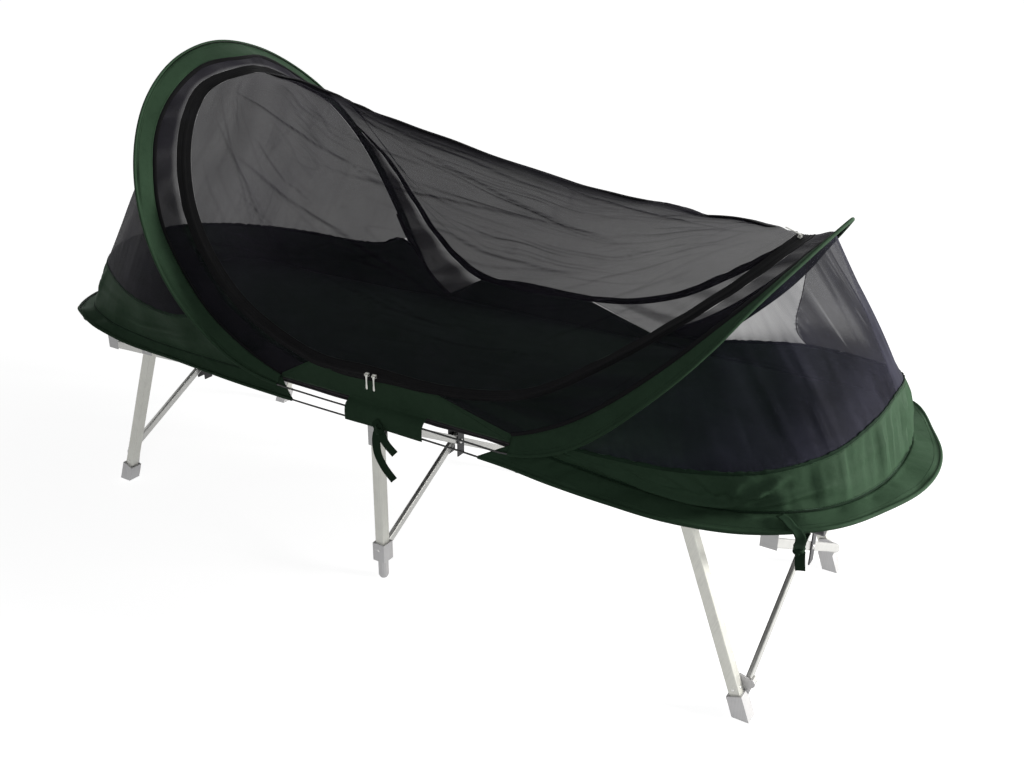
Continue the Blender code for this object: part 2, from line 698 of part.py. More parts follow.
def build_end_shoe(name, end, side, parent):
    """The plastic wedge under an end leg, with the lug and pin that the brace turns on."""
    outside = LEG_WIDTH / 2 + GAP + FOOT_WALL
    inside = LEG_WIDTH / 2 + GAP
    lean = math.atan2(END_FOOT_X - END_PIVOT_X, END_PIVOT_Z)
    down = Vector((end * math.sin(lean), 0, -math.cos(lean)))
    out = Vector((end * math.cos(lean), 0, math.sin(lean)))
    across = Vector((0, 1, 0))
    sole = Vector((end * END_FOOT_X, side * LEG_Y, 0))
    top = sole - down * (FOOT_HEIGHT / math.cos(lean))
    corners = ((-1, -1), (1, -1), (1, 1), (-1, 1))

    def ring(centre, half):
        return [centre + out * (a * half) + across * (b * half) for a, b in corners]

    def to_floor(point):
        return point + down * (point.z / math.cos(lean))

    upper_outer, upper_inner = ring(top, outside), ring(top, inside)
    lower_outer = [to_floor(point) for point in upper_outer]
    lower_inner = ring(sole - down * FOOT_SOLE, inside)
    foot = loft_rings(name, [lower_outer, upper_outer, upper_inner, lower_inner])
    pin_at = Vector((end * BRACE_X, 0, BRACE_PIN_Z))
    inner_y = LEG_Y - outside
    lug_y = (side * inner_y, side * (inner_y + FOOT_WALL))
    lug = cylinder(
        f"{name}_lug",
        LUG_RADIUS,
        (pin_at.x, lug_y[0], pin_at.z),
        (pin_at.x, lug_y[1], pin_at.z),
        sides=16,
    )
    low_root = sole - down * (FOOT_HEIGHT * 0.7)
    high_root = sole - down * LUG_ROOT
    profile = (
        low_root - out * (inside * 0.8),
        low_root + out * inside,
        pin_at + down * LUG_RADIUS,
        pin_at - down * LUG_RADIUS,
        high_root + out * inside,
        high_root - out * (inside * 0.5),
    )
    arm = loft_rings(f"{name}_arm", [[(point.x, y, point.z) for point in profile] for y in lug_y])
    pin = cylinder(
        f"{name}_pin",
        PIN_RADIUS,
        (pin_at.x, side * (inner_y + FOOT_WALL / 2), pin_at.z),
        (pin_at.x, side * (inner_y - BRACE_SIDE_GAP - EYE_LENGTH - GAP), pin_at.z),
        sides=12,
    )
    for shape in (lug, arm, pin):
        boolean(foot, shape, "UNION")
    finish_object(foot, "grey_plastic", parent)


def build_brace(name, x, low, high, side, parent, eye):
    """A flat bar from the foot on one side up to the bracket on the other, bored for the hub bolt.

    side is that of the lower end, and x is the middle of the bar's own thickness.
    """
    (low_y, low_z), (high_y, high_z) = low, high
    start = Vector((x, side * low_y, low_z))
    stop = Vector((x, -side * high_y, high_z))
    along = (stop - start).normalized()
    across = Vector((0, -along.z, along.y))
    outline = rounded_outline(BRACE_WIDTH, BRACE_DEPTH, BRACE_DEPTH / 4)

    def ring(wall_y):
        rows = []
        for a, b in outline:
            point = Vector((x + b, start.y, start.z)) + across * a
            rows.append(point + along * ((wall_y - point.y) / along.y))
        return rows

    bar = loft_rings(name, [ring(side * low_y), ring(-side * high_y)])
    if eye:
        eye_x = x + math.copysign(BRACE_SPLIT / 2 + BRACE_DEPTH / 2, eye)
        sleeve = cylinder(
            f"{name}_eye",
            EYE_RADIUS,
            (eye_x, side * low_y, BRACE_PIN_Z),
            (eye_x, side * (low_y - EYE_LENGTH), BRACE_PIN_Z),
            sides=16,
        )
        boolean(bar, sleeve, "UNION")
        bore = cylinder(
            f"{name}_eye_bore",
            PIN_RADIUS + GAP,
            (eye_x, side * (low_y + 0.005), BRACE_PIN_Z),
            (eye_x, side * (low_y - EYE_LENGTH - 0.02), BRACE_PIN_Z),
            sides=12,
        )
        boolean(bar, bore, "DIFFERENCE")
    cross_z = (low_z + high_z) / 2
    hole = cylinder(
        f"{name}_bolt_hole",
        PIN_RADIUS + GAP,
        (x - BRACE_DEPTH, 0, cross_z),
        (x + BRACE_DEPTH, 0, cross_z),
        sides=12,
    )
    boolean(bar, hole, "DIFFERENCE")
    finish_object(bar, "aluminium", parent)


def build_hub(name, x, z, parent):
    """The two plates and the bolt that hold a pair of braces at their crossing."""
    depth = BRACE_DEPTH + BRACE_SPLIT / 2 + GAP
    near_plate = box(
        name,
        (x + depth, -HUB_WIDTH / 2, z - HUB_HEIGHT / 2),
        (x + depth + HUB_PLATE, HUB_WIDTH / 2, z + HUB_HEIGHT / 2),
    )
    far_plate = box(
        f"{name}_back",
        (x - depth - HUB_PLATE, -HUB_WIDTH / 2, z - HUB_HEIGHT / 2),
        (x - depth, HUB_WIDTH / 2, z + HUB_HEIGHT / 2),
    )
    bolt = cylinder(
        f"{name}_bolt",
        PIN_RADIUS,
        (x - depth - HUB_PLATE / 2, 0, z),
        (x + depth + HUB_PLATE / 2, 0, z),
        sides=12,
    )
    for shape in (far_plate, bolt):
        boolean(near_plate, shape, "UNION")
    finish_object(near_plate, "dark_plastic", parent)


def build_end_frame(end_name, end):
    """Two leaning legs with their feet, and the X brace that turns on pins in the feet."""
    lean = math.atan2(END_FOOT_X - END_PIVOT_X, END_PIVOT_Z)
    full = math.hypot(END_FOOT_X - END_PIVOT_X, END_PIVOT_Z)
    leg_axis = axis_empty(f"{end_name}_leg_axis", (end * END_PIVOT_X, 0, END_PIVOT_Z))
    brace_axis = axis_empty(f"{end_name}_brace_axis", (end * BRACE_X, 0, BRACE_PIN_Z))
    brace_axis.parent = leg_axis
    brace_axis.matrix_parent_inverse = leg_axis.matrix_world.inverted()
    bpy.context.view_layer.update()
    for side_name, side in (("near", -1), ("far", 1)):
        build_end_bracket(f"{end_name}_bracket_{side_name}", end, side)
        build_leg(
            f"{end_name}_leg_{side_name}",
            (end * END_PIVOT_X, END_PIVOT_Z),
            lean,
            end,
            side,
            full - FOOT_SOLE - GAP,
            leg_axis,
        )
        build_end_shoe(f"{end_name}_shoe_{side_name}", end, side, leg_axis)
    reach = LEG_Y - LEG_WIDTH / 2 - GAP - FOOT_WALL - BRACE_SIDE_GAP
    top_reach = LEG_Y - LEG_WIDTH / 2 - GAP - PLATE - BRACE_SIDE_GAP
    shift = (BRACE_DEPTH + BRACE_SPLIT) / 2
    for side_name, side, offset in (("near", -1, -shift), ("far", 1, shift)):
        build_brace(
            f"{end_name}_brace_{side_name}",
            end * BRACE_X + offset,
            (reach, BRACE_PIN_Z),
            (top_reach, BRACE_HIGH_Z),
            side,
            brace_axis,
            -offset,
        )
    build_hub(f"{end_name}_brace_hub", end * BRACE_X, (BRACE_PIN_Z + BRACE_HIGH_Z) / 2, brace_axis)


def build_middle_shoe(name, side, parent):
    """A square collar on the leg's end over a narrower round peg."""
    outside = LEG_WIDTH / 2 + GAP + FOOT_WALL
    inside = LEG_WIDTH / 2 + GAP
    corners = ((-1, -1), (1, -1), (1, 1), (-1, 1))

    def ring(half, z):
        return [(a * half, side * LEG_Y + b * half, z) for a, b in corners]

    foot = loft_rings(
        name,
        [
            ring(outside, COLLAR_BOTTOM),
            ring(outside, COLLAR_TOP),
            ring(inside, COLLAR_TOP),
            ring(inside, COLLAR_BOTTOM + FOOT_SOLE),
        ],
    )
    profile = ((PEG_RADIUS * 0.75, 0.0), (PEG_RADIUS, 0.006), (PEG_RADIUS, COLLAR_BOTTOM + 0.001))
    rings = [
        [(a * radius, side * LEG_Y + b * radius, z) for a, b in circle_outline(1.0, 16)]
        for radius, z in profile
    ]
    boolean(foot, loft_rings(f"{name}_peg", rings), "UNION")
    finish_object(foot, "grey_plastic", parent)


def build_middle_frame():
    """Two upright legs and their fixed X brace, which fold as one."""
    axis = axis_empty("middle_leg_axis", (0, 0, MIDDLE_PIVOT_Z))
    for side_name, side in (("near", -1), ("far", 1)):
        build_middle_bracket(f"middle_bracket_{side_name}", side)
        length = MIDDLE_PIVOT_Z - COLLAR_BOTTOM - FOOT_SOLE - GAP
        build_leg(f"middle_leg_{side_name}", (0, MIDDLE_PIVOT_Z), 0, 1, side, length, axis)
        build_middle_shoe(f"middle_shoe_{side_name}", side, axis)
    low_reach = LEG_Y - LEG_WIDTH / 2 - GAP - FOOT_WALL - GAP
    top_reach = LEG_Y - LEG_WIDTH / 2 - GAP - PLATE - BRACE_SIDE_GAP
    low_z = (COLLAR_BOTTOM + COLLAR_TOP) / 2
    shift = (BRACE_DEPTH + BRACE_SPLIT) / 2
    for side_name, side, offset in (("near", -1, -shift), ("far", 1, shift)):
        build_brace(
            f"middle_brace_{side_name}",
            offset,
            (low_reach, low_z),
            (top_reach, BRACE_HIGH_Z),
            side,
            axis,
            0,
        )
    build_hub("middle_brace_hub", 0, (low_z + BRACE_HIGH_Z) / 2, axis)


# Tent


def tent_lines():
    """The tent's half lines as runs of points that pair up from the head end to the foot end."""
    lines = {}
    for name, parts in (
        ("hoop", (HOOP_HEAD, HOOP_SIDE, HOOP_FOOT)),
        ("seam", (SEAM_HEAD, SEAM_SIDE, SEAM_FOOT)),
        ("piping", (PIPING_HEAD, PIPING_SIDE, PIPING_FOOT)),
        ("wire", (WIRE_HEAD, WIRE_SIDE, WIRE_FOOT)),
        ("zip", (ZIP_HEAD, ZIP_SIDE, ZIP_FOOT)),
        ("ridge", (RIDGE_HEAD, RIDGE_SIDE, RIDGE_FOOT)),
    ):
        for part, points, count in zip(("head", "side", "foot"), parts, LINE_COUNTS):
            lines[name, part] = fitted(smooth_curve(points, count))
    return lines


def whole_line(lines, name):
    return join_curves(*[lines[name, part] for part in ("head", "side", "foot")])


def build_hoops(lines):
    for name, line in (("base_hoop", "hoop"), ("upper_hoop", "wire")):
        half = whole_line(lines, line)
        route = np.vstack([half, mirrored(half)[-2:0:-1]])
        wire_ring(name, route, WIRE_RADIUS, "spring_wire")


def build_brims(lines):
    """The outer flange of the base, rolled round the base hoop, which stays bare at the windows."""
    for part in ("head", "foot"):
        wire = lines["hoop", part]
        inner = pulled_in(lines["seam", part], wire, SEAM_GAP + CLOTH)
        grid = hem_grid(both_sides_of(inner, part), both_sides_of(wire, part))
        cloth_object(f"brim_{part}", [grid], CLOTH, "green_cloth")


def build_sleeves(lines):
    """The green flange that holds the upper hoop and stands out from the net."""
    for part in ("head", "foot"):
        wire = lines["wire", part]
        inner = pulled_in(lines["piping", part], wire, SEAM_GAP + CLOTH)
        grid = hem_grid(both_sides_of(inner, part), both_sides_of(wire, part))
        cloth_object(f"sleeve_{part}", [grid], CLOTH, "green_cloth")


def both_sides_of(half, part):
    """A head or foot half line as one run from the near side, over the centre line, to the far side."""
    ordered = half if part == "head" else half[::-1]
    return both_sides(ordered)


def skirt_top(part):
    """The skirt's upper edge: its seam with the end net, then down along the piping."""
    if part == "head":
        return fitted(smooth_curve(SKIRT_TOP_HEAD + SKIRT_LOW_HEAD, LINE_COUNTS[0]))
    return fitted(smooth_curve(SKIRT_LOW_FOOT + SKIRT_TOP_FOOT, LINE_COUNTS[2]))


def build_skirts_and_end_nets(lines):
    for part in ("head", "foot"):
        top = both_sides_of(skirt_top(part), part)
        seam = both_sides_of(lines["seam", part], part)
        upper = pulled_in(top, seam, NET_GAP)
        lower = pulled_in(seam, top, SKIRT_GAP)
        cloth_object(f"skirt_{part}", [span(upper, lower, 4)], CLOTH, "green_cloth")
        if part == "head":
            arch = fitted(smooth_curve(PIPING_HEAD[:8], LINE_COUNTS[0]))
            foot_of_net = fitted(smooth_curve(SKIRT_TOP_HEAD, LINE_COUNTS[0]))
        else:
            arch = fitted(smooth_curve(PIPING_FOOT[1:], LINE_COUNTS[2]))
            foot_of_net = fitted(smooth_curve(SKIRT_TOP_FOOT, LINE_COUNTS[2]))
        arch = both_sides_of(arch, part)
        foot_of_net = both_sides_of(foot_of_net, part)
        upper = pulled_in(pulled_in(arch, foot_of_net, NET_GAP), fitted(NET_TUCK[part]), TUCK)
        lower = pulled_in(foot_of_net, arch, 2.2 * NET_GAP)
        cloth_object(f"net_{part}", [span(upper, lower, 3)], CLOTH, "black_net")


def build_strip_nets(lines):
    """The net between the piping and the zip, over each arch."""
    for part in ("head", "foot"):
        piping = lines["piping", part]
        tape = lines["zip", part]
        if part == "head":
            piping, tape = shortened_end(piping), shortened_end(tape)
        else:
            piping, tape = shortened_end(piping[::-1])[::-1], shortened_end(tape[::-1])[::-1]
        outer = both_sides_of(pulled_in(piping, tape, SEAM_GAP + CLOTH), part)
        inner = both_sides_of(pulled_in(tape, piping, ZIP_WIDTH / 2 + SEAM_GAP), part)
        cloth_object(f"strip_net_{part}", [span(outer, inner, 3)], CLOTH, "black_net")


def shortened_end(line):
    """The line with its last point drawn back from the neighbour that it would touch."""
    line = line.copy()
    back = line[-2] - line[-1]
    line[-1] += back / np.linalg.norm(back) * (SEAM_GAP + CLOTH)
    return line


def build_side_bands(lines):
    """The cloth strip under the zip on each side, with the tab between the windows."""
    seam_side, zip_side = fitted(SEAM_SIDE), fitted(ZIP_SIDE)
    stops = (SEAM_SIDE[0][0], -0.160, WINDOW_HEAD[1], 0.054, WINDOW_FOOT[0], 0.270, SEAM_SIDE[-1][0])
    bottom_x = fitted([(x, 0.0, 0.0) for x in stops])[:, 0]
    share = (bottom_x - bottom_x[0]) / (bottom_x[-1] - bottom_x[0])
    top_x = zip_side[0, 0] + share * (zip_side[-1, 0] - zip_side[0, 0])
    seam_y, seam_z = seam_side[0, 1:]
    zip_y, zip_z = zip_side[0, 1:]
    bottom = np.stack([bottom_x, np.full(7, seam_y), np.full(7, seam_z)], axis=1)
    top = np.stack([top_x, np.full(7, zip_y), np.full(7, zip_z)], axis=1)
    low = pulled_in(bottom, top, NET_GAP)
    high = pulled_in(top, bottom, ZIP_WIDTH / 2 + SEAM_GAP)
    tab_rows = low[2:5]
    wire_y, wire_z = fitted(WIRE_SIDE)[2, 1:]
    clear = WIRE_RADIUS + CLOTH + SLIDE_GAP
    tab_route = (
        (wire_y - 0.002, wire_z + 0.0125),
        (wire_y + clear + 0.001, wire_z + 0.005),
        (wire_y + clear + 0.0030, wire_z - 0.004),
        (wire_y + clear + 0.0030, wire_z - TAB_DROP),
    )
    tab = np.array([[tuple(row)] + [(row[0], y, z) for y, z in tab_route] for row in tab_rows])
    for side_name, side in (("near", -1), ("far", 1)):
        flip = np.array([1.0, side, 1.0])
        patches = [np.stack([low, high], axis=1) * flip, tab * flip]
        cloth_object(f"side_band_{side_name}", patches, CLOTH, "green_cloth")


def build_zip_tape(lines):
    """One tape round the door's opening, creased along its middle."""
    tape = whole_line(lines, "zip")
    piping = whole_line(lines, "piping")
    ridge = whole_line(lines, "ridge")
    outer = pulled_in(tape, piping, ZIP_WIDTH / 2)
    inner = pulled_in(tape, ridge, ZIP_WIDTH / 2)
    half = np.stack([outer, tape, inner], axis=1)
    near = half * np.array([1.0, -1.0, 1.0])
    cloth_object("zip_tape", [half, near], CLOTH, "black_tape")


def build_door_net(lines):
    """The roof net inside the zip, which rises to the ridge."""
    tape = whole_line(lines, "zip")
    ridge = whole_line(lines, "ridge")
    edge = pulled_in(tape, ridge, ZIP_WIDTH / 2 + SEAM_GAP)
    share = np.linspace(0, 1, len(tape))
    power = (1.9 - 0.7 * np.clip(share / 0.35, 0, 1) + 0.4 * np.clip((share - 0.6) / 0.4, 0, 1))[:, None]
    outward = np.linspace(1, 0, DOOR_STEPS)[None]
    grid = ridge[:, None] + (edge - ridge)[:, None] * outward[..., None]
    grid[..., 2] = ridge[:, 2:] + (edge - ridge)[:, 2:] * outward**power
    cloth_object("door_net", [grid, grid * np.array([1.0, -1.0, 1.0])], CLOTH, "black_net")


def build_tent_floor(lines):
    """The groundsheet, flat over the bed and turned down to the seam all round."""
    seam = whole_line(lines, "seam")
    tips = (seam[0], seam[-1])
    shares = np.array([-1, -0.94, -0.5, 0, 0.5, 0.94, 1])
    bed_end = RAIL_LENGTH / 2 + FLOOR_END_MARGIN
    rows = []
    for i in range(1, len(seam) - 1):
        x, y, z = seam[i]
        tip, first = (tips[0], seam[1]) if x < 0 else (tips[1], seam[-2])
        bulge = (tip[0] - first[0]) * (first[1] / y) ** 2
        beyond = np.clip((abs(x) - bed_end) / (abs(tip[0]) - bed_end), 0, 1)
        middle_z = FLOOR_Z + (tip[2] - FLOOR_Z) * beyond
        inset = 1 - (SEAM_GAP + CLOTH) / y
        row = []
        for share in shares * inset:
            level = z if abs(share) > 0.97 else middle_z
            bowed = x + bulge * (1 - (share / inset) ** 2)
            row.append((bowed - math.copysign((SEAM_GAP + CLOTH) * beyond, x), y * share, level))
        rows.append(row)
    cloth_object("tent_floor", [np.array(rows)], CLOTH, "green_cloth")


# Fittings


def ribbon(name, points, width_direction, width, thickness):
    """A flat strap along its centre points."""
    line = np.array(points, float)
    tangent = unit(np.gradient(line, axis=0))
    wide = np.array(width_direction, float)
    wide = unit(wide - tangent * (tangent @ wide)[:, None])
    thin = np.cross(tangent, wide)
    corners = ((-1, -1), (1, -1), (1, 1), (-1, 1))
    rings = []
    for centre, a, b in zip(line, wide * width / 2, thin * thickness / 2):
        rings.append([tuple(centre + a * p + b * q) for p, q in corners])
    return loft_rings(name, rings)


def build_knot(name, centre, size):
    """A soft lump where a tie is knotted."""
    rings = []
    for level, radius in ((-0.9, 0.45), (-0.45, 0.9), (0.1, 1.0), (0.6, 0.75), (0.95, 0.35)):
        shares = [np.array((a * radius, b * radius, level)) for a, b in circle_outline(1.0, 10)]
        rings.append([tuple(np.array(centre) + share * np.array(size)) for share in shares])
    return loft_rings(name, rings)


def build_ties():
    """The two cloth ties that hold the tent to the bed."""
    knot = build_knot("tie_middle", fitted(TIE_MIDDLE_KNOT), (0.014, 0.0055, 0.012))
    for label, route, lean in TIE_MIDDLE_TAILS:
        tail = ribbon(f"tie_middle_{label}", fitted(route), lean, TIE_WIDTH, TIE_CLOTH)
        boolean(knot, tail, "UNION")
    finish_object(knot, "green_cloth")
    knot = build_knot("tie_foot", fitted(TIE_FOOT_KNOT), (0.012, 0.010, 0.011))
    for label, route, lean in TIE_FOOT_TAILS:
        tail = ribbon(f"tie_foot_{label}", fitted(route), lean, TIE_WIDTH * 0.8, TIE_CLOTH)
        boolean(knot, tail, "UNION")
    finish_object(knot, "green_cloth")


def build_slider(name, matrix, pull_side):
    """A zip slider with a fork, and the pull tab that swings in the fork.

    The matrix takes the slider's length to its +X and its outer face to its -Y. pull_side is 1
    where the pull lies toward -Z and -1 where it lies toward +Z.
    """
    length, depth, height = SLIDER_SIZE
    pull_width, pull_depth, pull_length = PULL_SIZE
    fork_reach = depth + 2 * SLIDE_GAP + pull_depth + 0.002
    pivot_y = -(depth + SLIDE_GAP + pull_depth / 2 + 0.0006)
    body = box(name, (-length / 2, -depth, -height / 2), (length / 2, 0, height / 2), matrix)
    for label, sign in (("left", -1), ("right", 1)):
        xs = sorted((sign * (pull_width / 2 + SLIDE_GAP), sign * length / 2))
        cheek = box(
            f"{name}_{label}",
            (xs[0], -fork_reach, -FORK_HALF),
            (xs[1], -depth / 2, FORK_HALF),
            matrix,
        )
        boolean(body, cheek, "UNION")
    bore = cylinder(
        f"{name}_bore",
        PULL_PIN + GAP,
        matrix @ Vector((-length, pivot_y, 0)),
        matrix @ Vector((length, pivot_y, 0)),
        sides=12,
    )
    boolean(body, bore, "DIFFERENCE")
    slide_axis = axis_empty(f"{name}_slide_axis", matrix.translation)
    pull_axis = axis_empty(f"{name}_pull_axis", matrix @ Vector((0, pivot_y, 0)))
    pull_axis.parent = slide_axis
    pull_axis.matrix_parent_inverse = slide_axis.matrix_world.inverted()
    bpy.context.view_layer.update()
    finish_object(body, "zip_metal", slide_axis)
    ends = sorted((pull_side * PULL_STUB, -pull_side * pull_length))
    pull = box(
        f"{name}_pull",
        (-pull_width / 2, pivot_y - pull_depth / 2, ends[0]),
        (pull_width / 2, pivot_y + pull_depth / 2, ends[1]),
        matrix,
    )
    pin = cylinder(
        f"{name}_pin",
        PULL_PIN,
        matrix @ Vector((-length / 2, pivot_y, 0)),
        matrix @ Vector((length / 2, pivot_y, 0)),
        sides=12,
    )
    boolean(pull, pin, "UNION")
    finish_object(pull, "zip_metal", pull_axis)


def top_slider_matrix():
    """On the door's side of the zip's crease at the foot end, its outer face square to the roof."""
    crease = Vector(fitted(ZIP_FOOT[-1]))
    up_roof = (Vector(fitted(RIDGE_FOOT[-1])) - crease).normalized()
    along = Vector((0, 1, 0))
    normal = up_roof.cross(along).normalized()
    if normal.z < 0:
        normal = -normal
    matrix = Matrix((along, -normal, along.cross(-normal))).transposed().to_4x4()
    matrix.translation = crease + normal * (CLOTH / 2 + SLIDE_GAP) + up_roof * SLIDER_TOP_INSET
    return matrix


def main():
    clear_scene()
    build_rails()
    build_end_bar("end_bar_head", -1)
    build_end_bar("end_bar_foot", 1)
    build_bed_cloth()
    build_end_frame("head", -1)
    build_end_frame("foot", 1)
    build_middle_frame()
    lines = tent_lines()
    build_hoops(lines)
    build_brims(lines)
    build_sleeves(lines)
    build_skirts_and_end_nets(lines)
    build_strip_nets(lines)
    build_side_bands(lines)
    build_zip_tape(lines)
    build_door_net(lines)
    build_tent_floor(lines)
    build_ties()
    zip_side = fitted(ZIP_SIDE[0])
    for name, x in (("zip_slider_head", SLIDER_X[0]), ("zip_slider_foot", SLIDER_X[1])):
        location = (x, -(zip_side[1] + CLOTH / 2 + SLIDE_GAP), zip_side[2])
        build_slider(name, Matrix.Translation(location), 1)
    build_slider("zip_slider_top", top_slider_matrix(), -1)


main()
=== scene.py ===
"""Looks of the mosquito net tent on its camp bed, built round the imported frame.

Metres, +Z up, +X to the foot end, -Y to the near side. The tent's outlines are those of the part.
"""

import math

import bmesh
import bpy
import numpy as np
from mathutils import Matrix, Vector


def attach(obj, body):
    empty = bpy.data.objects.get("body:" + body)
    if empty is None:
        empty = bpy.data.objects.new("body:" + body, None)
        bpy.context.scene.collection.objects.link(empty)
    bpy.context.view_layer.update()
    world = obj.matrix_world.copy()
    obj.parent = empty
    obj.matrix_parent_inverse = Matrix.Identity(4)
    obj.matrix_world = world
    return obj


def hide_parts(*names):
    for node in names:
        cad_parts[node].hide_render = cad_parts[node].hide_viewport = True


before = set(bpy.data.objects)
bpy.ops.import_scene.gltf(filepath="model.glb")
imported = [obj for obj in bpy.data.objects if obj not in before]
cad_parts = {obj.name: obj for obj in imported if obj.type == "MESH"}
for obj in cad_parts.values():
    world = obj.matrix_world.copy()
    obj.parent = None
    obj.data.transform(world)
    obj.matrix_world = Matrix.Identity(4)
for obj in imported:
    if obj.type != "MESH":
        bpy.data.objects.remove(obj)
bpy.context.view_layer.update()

# Camera, solved from the photo
CAMERA_AT = (1.37316, -1.98345, 1.45781)
CAMERA_YAW = math.radians(-31.3011)
CAMERA_PITCH = math.radians(23.7415)
CAMERA_ROLL = math.radians(0.8147)
CAMERA_LENS = 36.56

# Sizes of the bed, repeated from the part
RAIL_LENGTH = 2.034
RAIL_Y = 0.297
RAIL_Z = 0.465
RAIL_RADIUS = 0.0125
END_BAR_INSET = 0.017
RAIL_CAP_LENGTH = 0.034
RAIL_CAP_WALL = 0.002
GAP = 0.0003
BED_CLOTH = 0.0008
POCKET_EASE = 0.0009
POCKET_CLEARANCE = 0.004
POCKET_HANG = -0.0145
NOTCH_MARGIN = 0.004
LEG_WIDTH = 0.025
LEG_Y = 0.315
END_FOOT_X = 0.918
END_PIVOT_X = 0.752
END_PIVOT_Z = 0.433
MIDDLE_PIVOT_Z = 0.374
FOOT_WALL = 0.0042
FOOT_HEIGHT = 0.050
SHOE_EDGE = 0.0012
PLATE = 0.002
EAR_WIDTH = 0.034
COLLAR_BOTTOM = 0.050
COLLAR_TOP = 0.098
BRACE_X = 0.9204
BRACE_PIN_Z = 0.0720
BRACE_HIGH_Z = 0.405
BRACE_DEPTH = 0.012
BRACE_SPLIT = 0.001
HUB_PLATE = 0.003
LEAN = math.atan2(END_FOOT_X - END_PIVOT_X, END_PIVOT_Z)

# Sizes of cloth, seams and fittings, from the part or drawn only here
CLOTH = 0.0008
NET_GAP = 0.0016
TUCK = 0.0030
SKIRT_GAP = 0.0025
SEAM_GAP = 0.0006
SLIDE_GAP = 0.0006
NET_TUCK = {"head": (-0.300, 0.0, 0.600), "foot": (0.300, 0.0, 0.600)}
WIRE_RADIUS = 0.0022
HEM_RADIUS = 0.0036
ZIP_WIDTH = 0.038
FLOOR_Z = 0.4808
FLOOR_END_MARGIN = 0.012
TAB_DROP = 0.029
WINDOW_HEAD = (-0.220, -0.054)
WINDOW_FOOT = (0.162, 0.306)
BAND_OVERLAP = 0.004
BAND_BEHIND = 0.0026
SEAM_LAP = 0.0012
SLIDER_SIZE = (0.010, 0.0045, 0.008)
PULL_SIZE = (0.006, 0.0014, 0.034)
SLIDER_X = (0.016, 0.036)
SLIDER_TOP_INSET = 0.0075
SKIRT_PULL_SCALE = 2.6
SEWN_REACH = 0.010
GATHER_PITCH = 0.006
WELD = 0.00005

# The roll of a hem round its wire
HEM_START = math.radians(28)
HEM_TURN = 1.68 * math.pi
HEM_STEPS = 14

# Hanging pocket of the bed cloth: outline beside the rail's centre, and how much more it sags lower down
POCKET_SLACK = (
    (0.0126, -0.0075), (0.0088, -0.0118), (0.0040, -0.0136), (-0.0010, -0.0142), (-0.0052, -0.0255),
    (-0.0095, -0.0310), (-0.0132, -0.0200), (-0.0142, -0.0060), (-0.0120, 0.0095),
)
POCKET_SAG = 90

# Small metal parts: radius and height of rivet heads, and outlines as shares of a size
PIVOT_RIVET = (0.0058, 0.0022)
LEG_RIVET = (0.0032, 0.0012)
HUB_BOLT = (0.0065, 0.0030)
COLLAR_RIVET = (0.0030, 0.0012)
RIVET_PROFILE = ((1.0, 0.0), (0.97, 0.35), (0.8, 0.75), (0.45, 0.97))
RIVET_SIDES = 20
PIN_RADIUS = 0.0005
PULL_OUTLINE = (
    (0.0, 0.92), (0.12, 1.0), (0.28, 0.72), (0.55, 0.62), (0.80, 0.86), (0.93, 0.92), (1.0, 0.45),
)

# The zip's section: share of the way to its outer (-) or inner (+) edge, and height in mm
ZIP_PROFILE = (
    (-1, 0), (-0.96, 0.4), (-0.7, 0.25), (-0.45, 0.2), (-0.24, 0.3), (-0.17, 1.2), (-0.08, 1.5), (0, 1.15),
    (0.08, 1.5), (0.17, 1.2), (0.24, 0.3), (0.45, 0.2), (0.7, 0.25), (0.96, 0.4), (1, 0),
)

# A ribbon's section, its thickness and its curl
RIBBON_SECTION = (
    (-1.0, 0.0), (-0.97, 0.8), (-0.6, 1.0), (0.0, 1.0), (0.6, 1.0), (0.97, 0.8),
    (1.0, 0.0), (0.97, -0.8), (0.6, -1.0), (0.0, -1.0), (-0.6, -1.0), (-0.97, -0.8),
)
RIBBON_STEPS = 26
RIBBON_THICKNESS = 0.0014
RIBBON_CURL = 0.0012

# Each tie's neighbour, knot, knot size, ribbon width, and its ribbons' points and wide directions
TIES = {
    "tie_middle": (
        "side_band_near_cloth", (0.050, -0.3705, 0.432), (0.014, 0.0055, 0.012), 0.024,
        (
            ([(0.034, -0.3655, 0.450), (0.041, -0.3665, 0.442), (0.050, -0.369, 0.434)], (1, 0, 0)),
            (
                [
                    (0.046, -0.369, 0.432), (0.040, -0.369, 0.405), (0.042, -0.368, 0.372),
                    (0.058, -0.367, 0.342), (0.084, -0.366, 0.315),
                ],
                (1, 0, 0),
            ),
            ([(0.054, -0.371, 0.430), (0.068, -0.372, 0.408), (0.092, -0.370, 0.385)], (1, 0, 0.3)),
        ),
    ),
    "tie_foot": (
        "brim_foot_cloth", (0.985, -0.333, 0.428), (0.012, 0.010, 0.011), 0.0192,
        (
            ([(0.985, -0.300, 0.4475), (0.985, -0.318, 0.444), (0.985, -0.330, 0.432)], (1, 0, 0)),
            ([(0.988, -0.334, 0.426), (0.992, -0.342, 0.410), (0.996, -0.346, 0.394)], (1, 0, 0)),
            (
                [
                    (0.942, -0.3318, 0.4862), (0.957, -0.3400, 0.4846), (0.972, -0.3525, 0.4812),
                    (0.984, -0.3610, 0.4800), (0.9915, -0.3650, 0.4740), (0.9915, -0.3610, 0.4600),
                    (0.987, -0.3480, 0.4420), (0.985, -0.338, 0.432),
                ],
                (0.9, 0.43, 0),
            ),
        ),
    ),
}

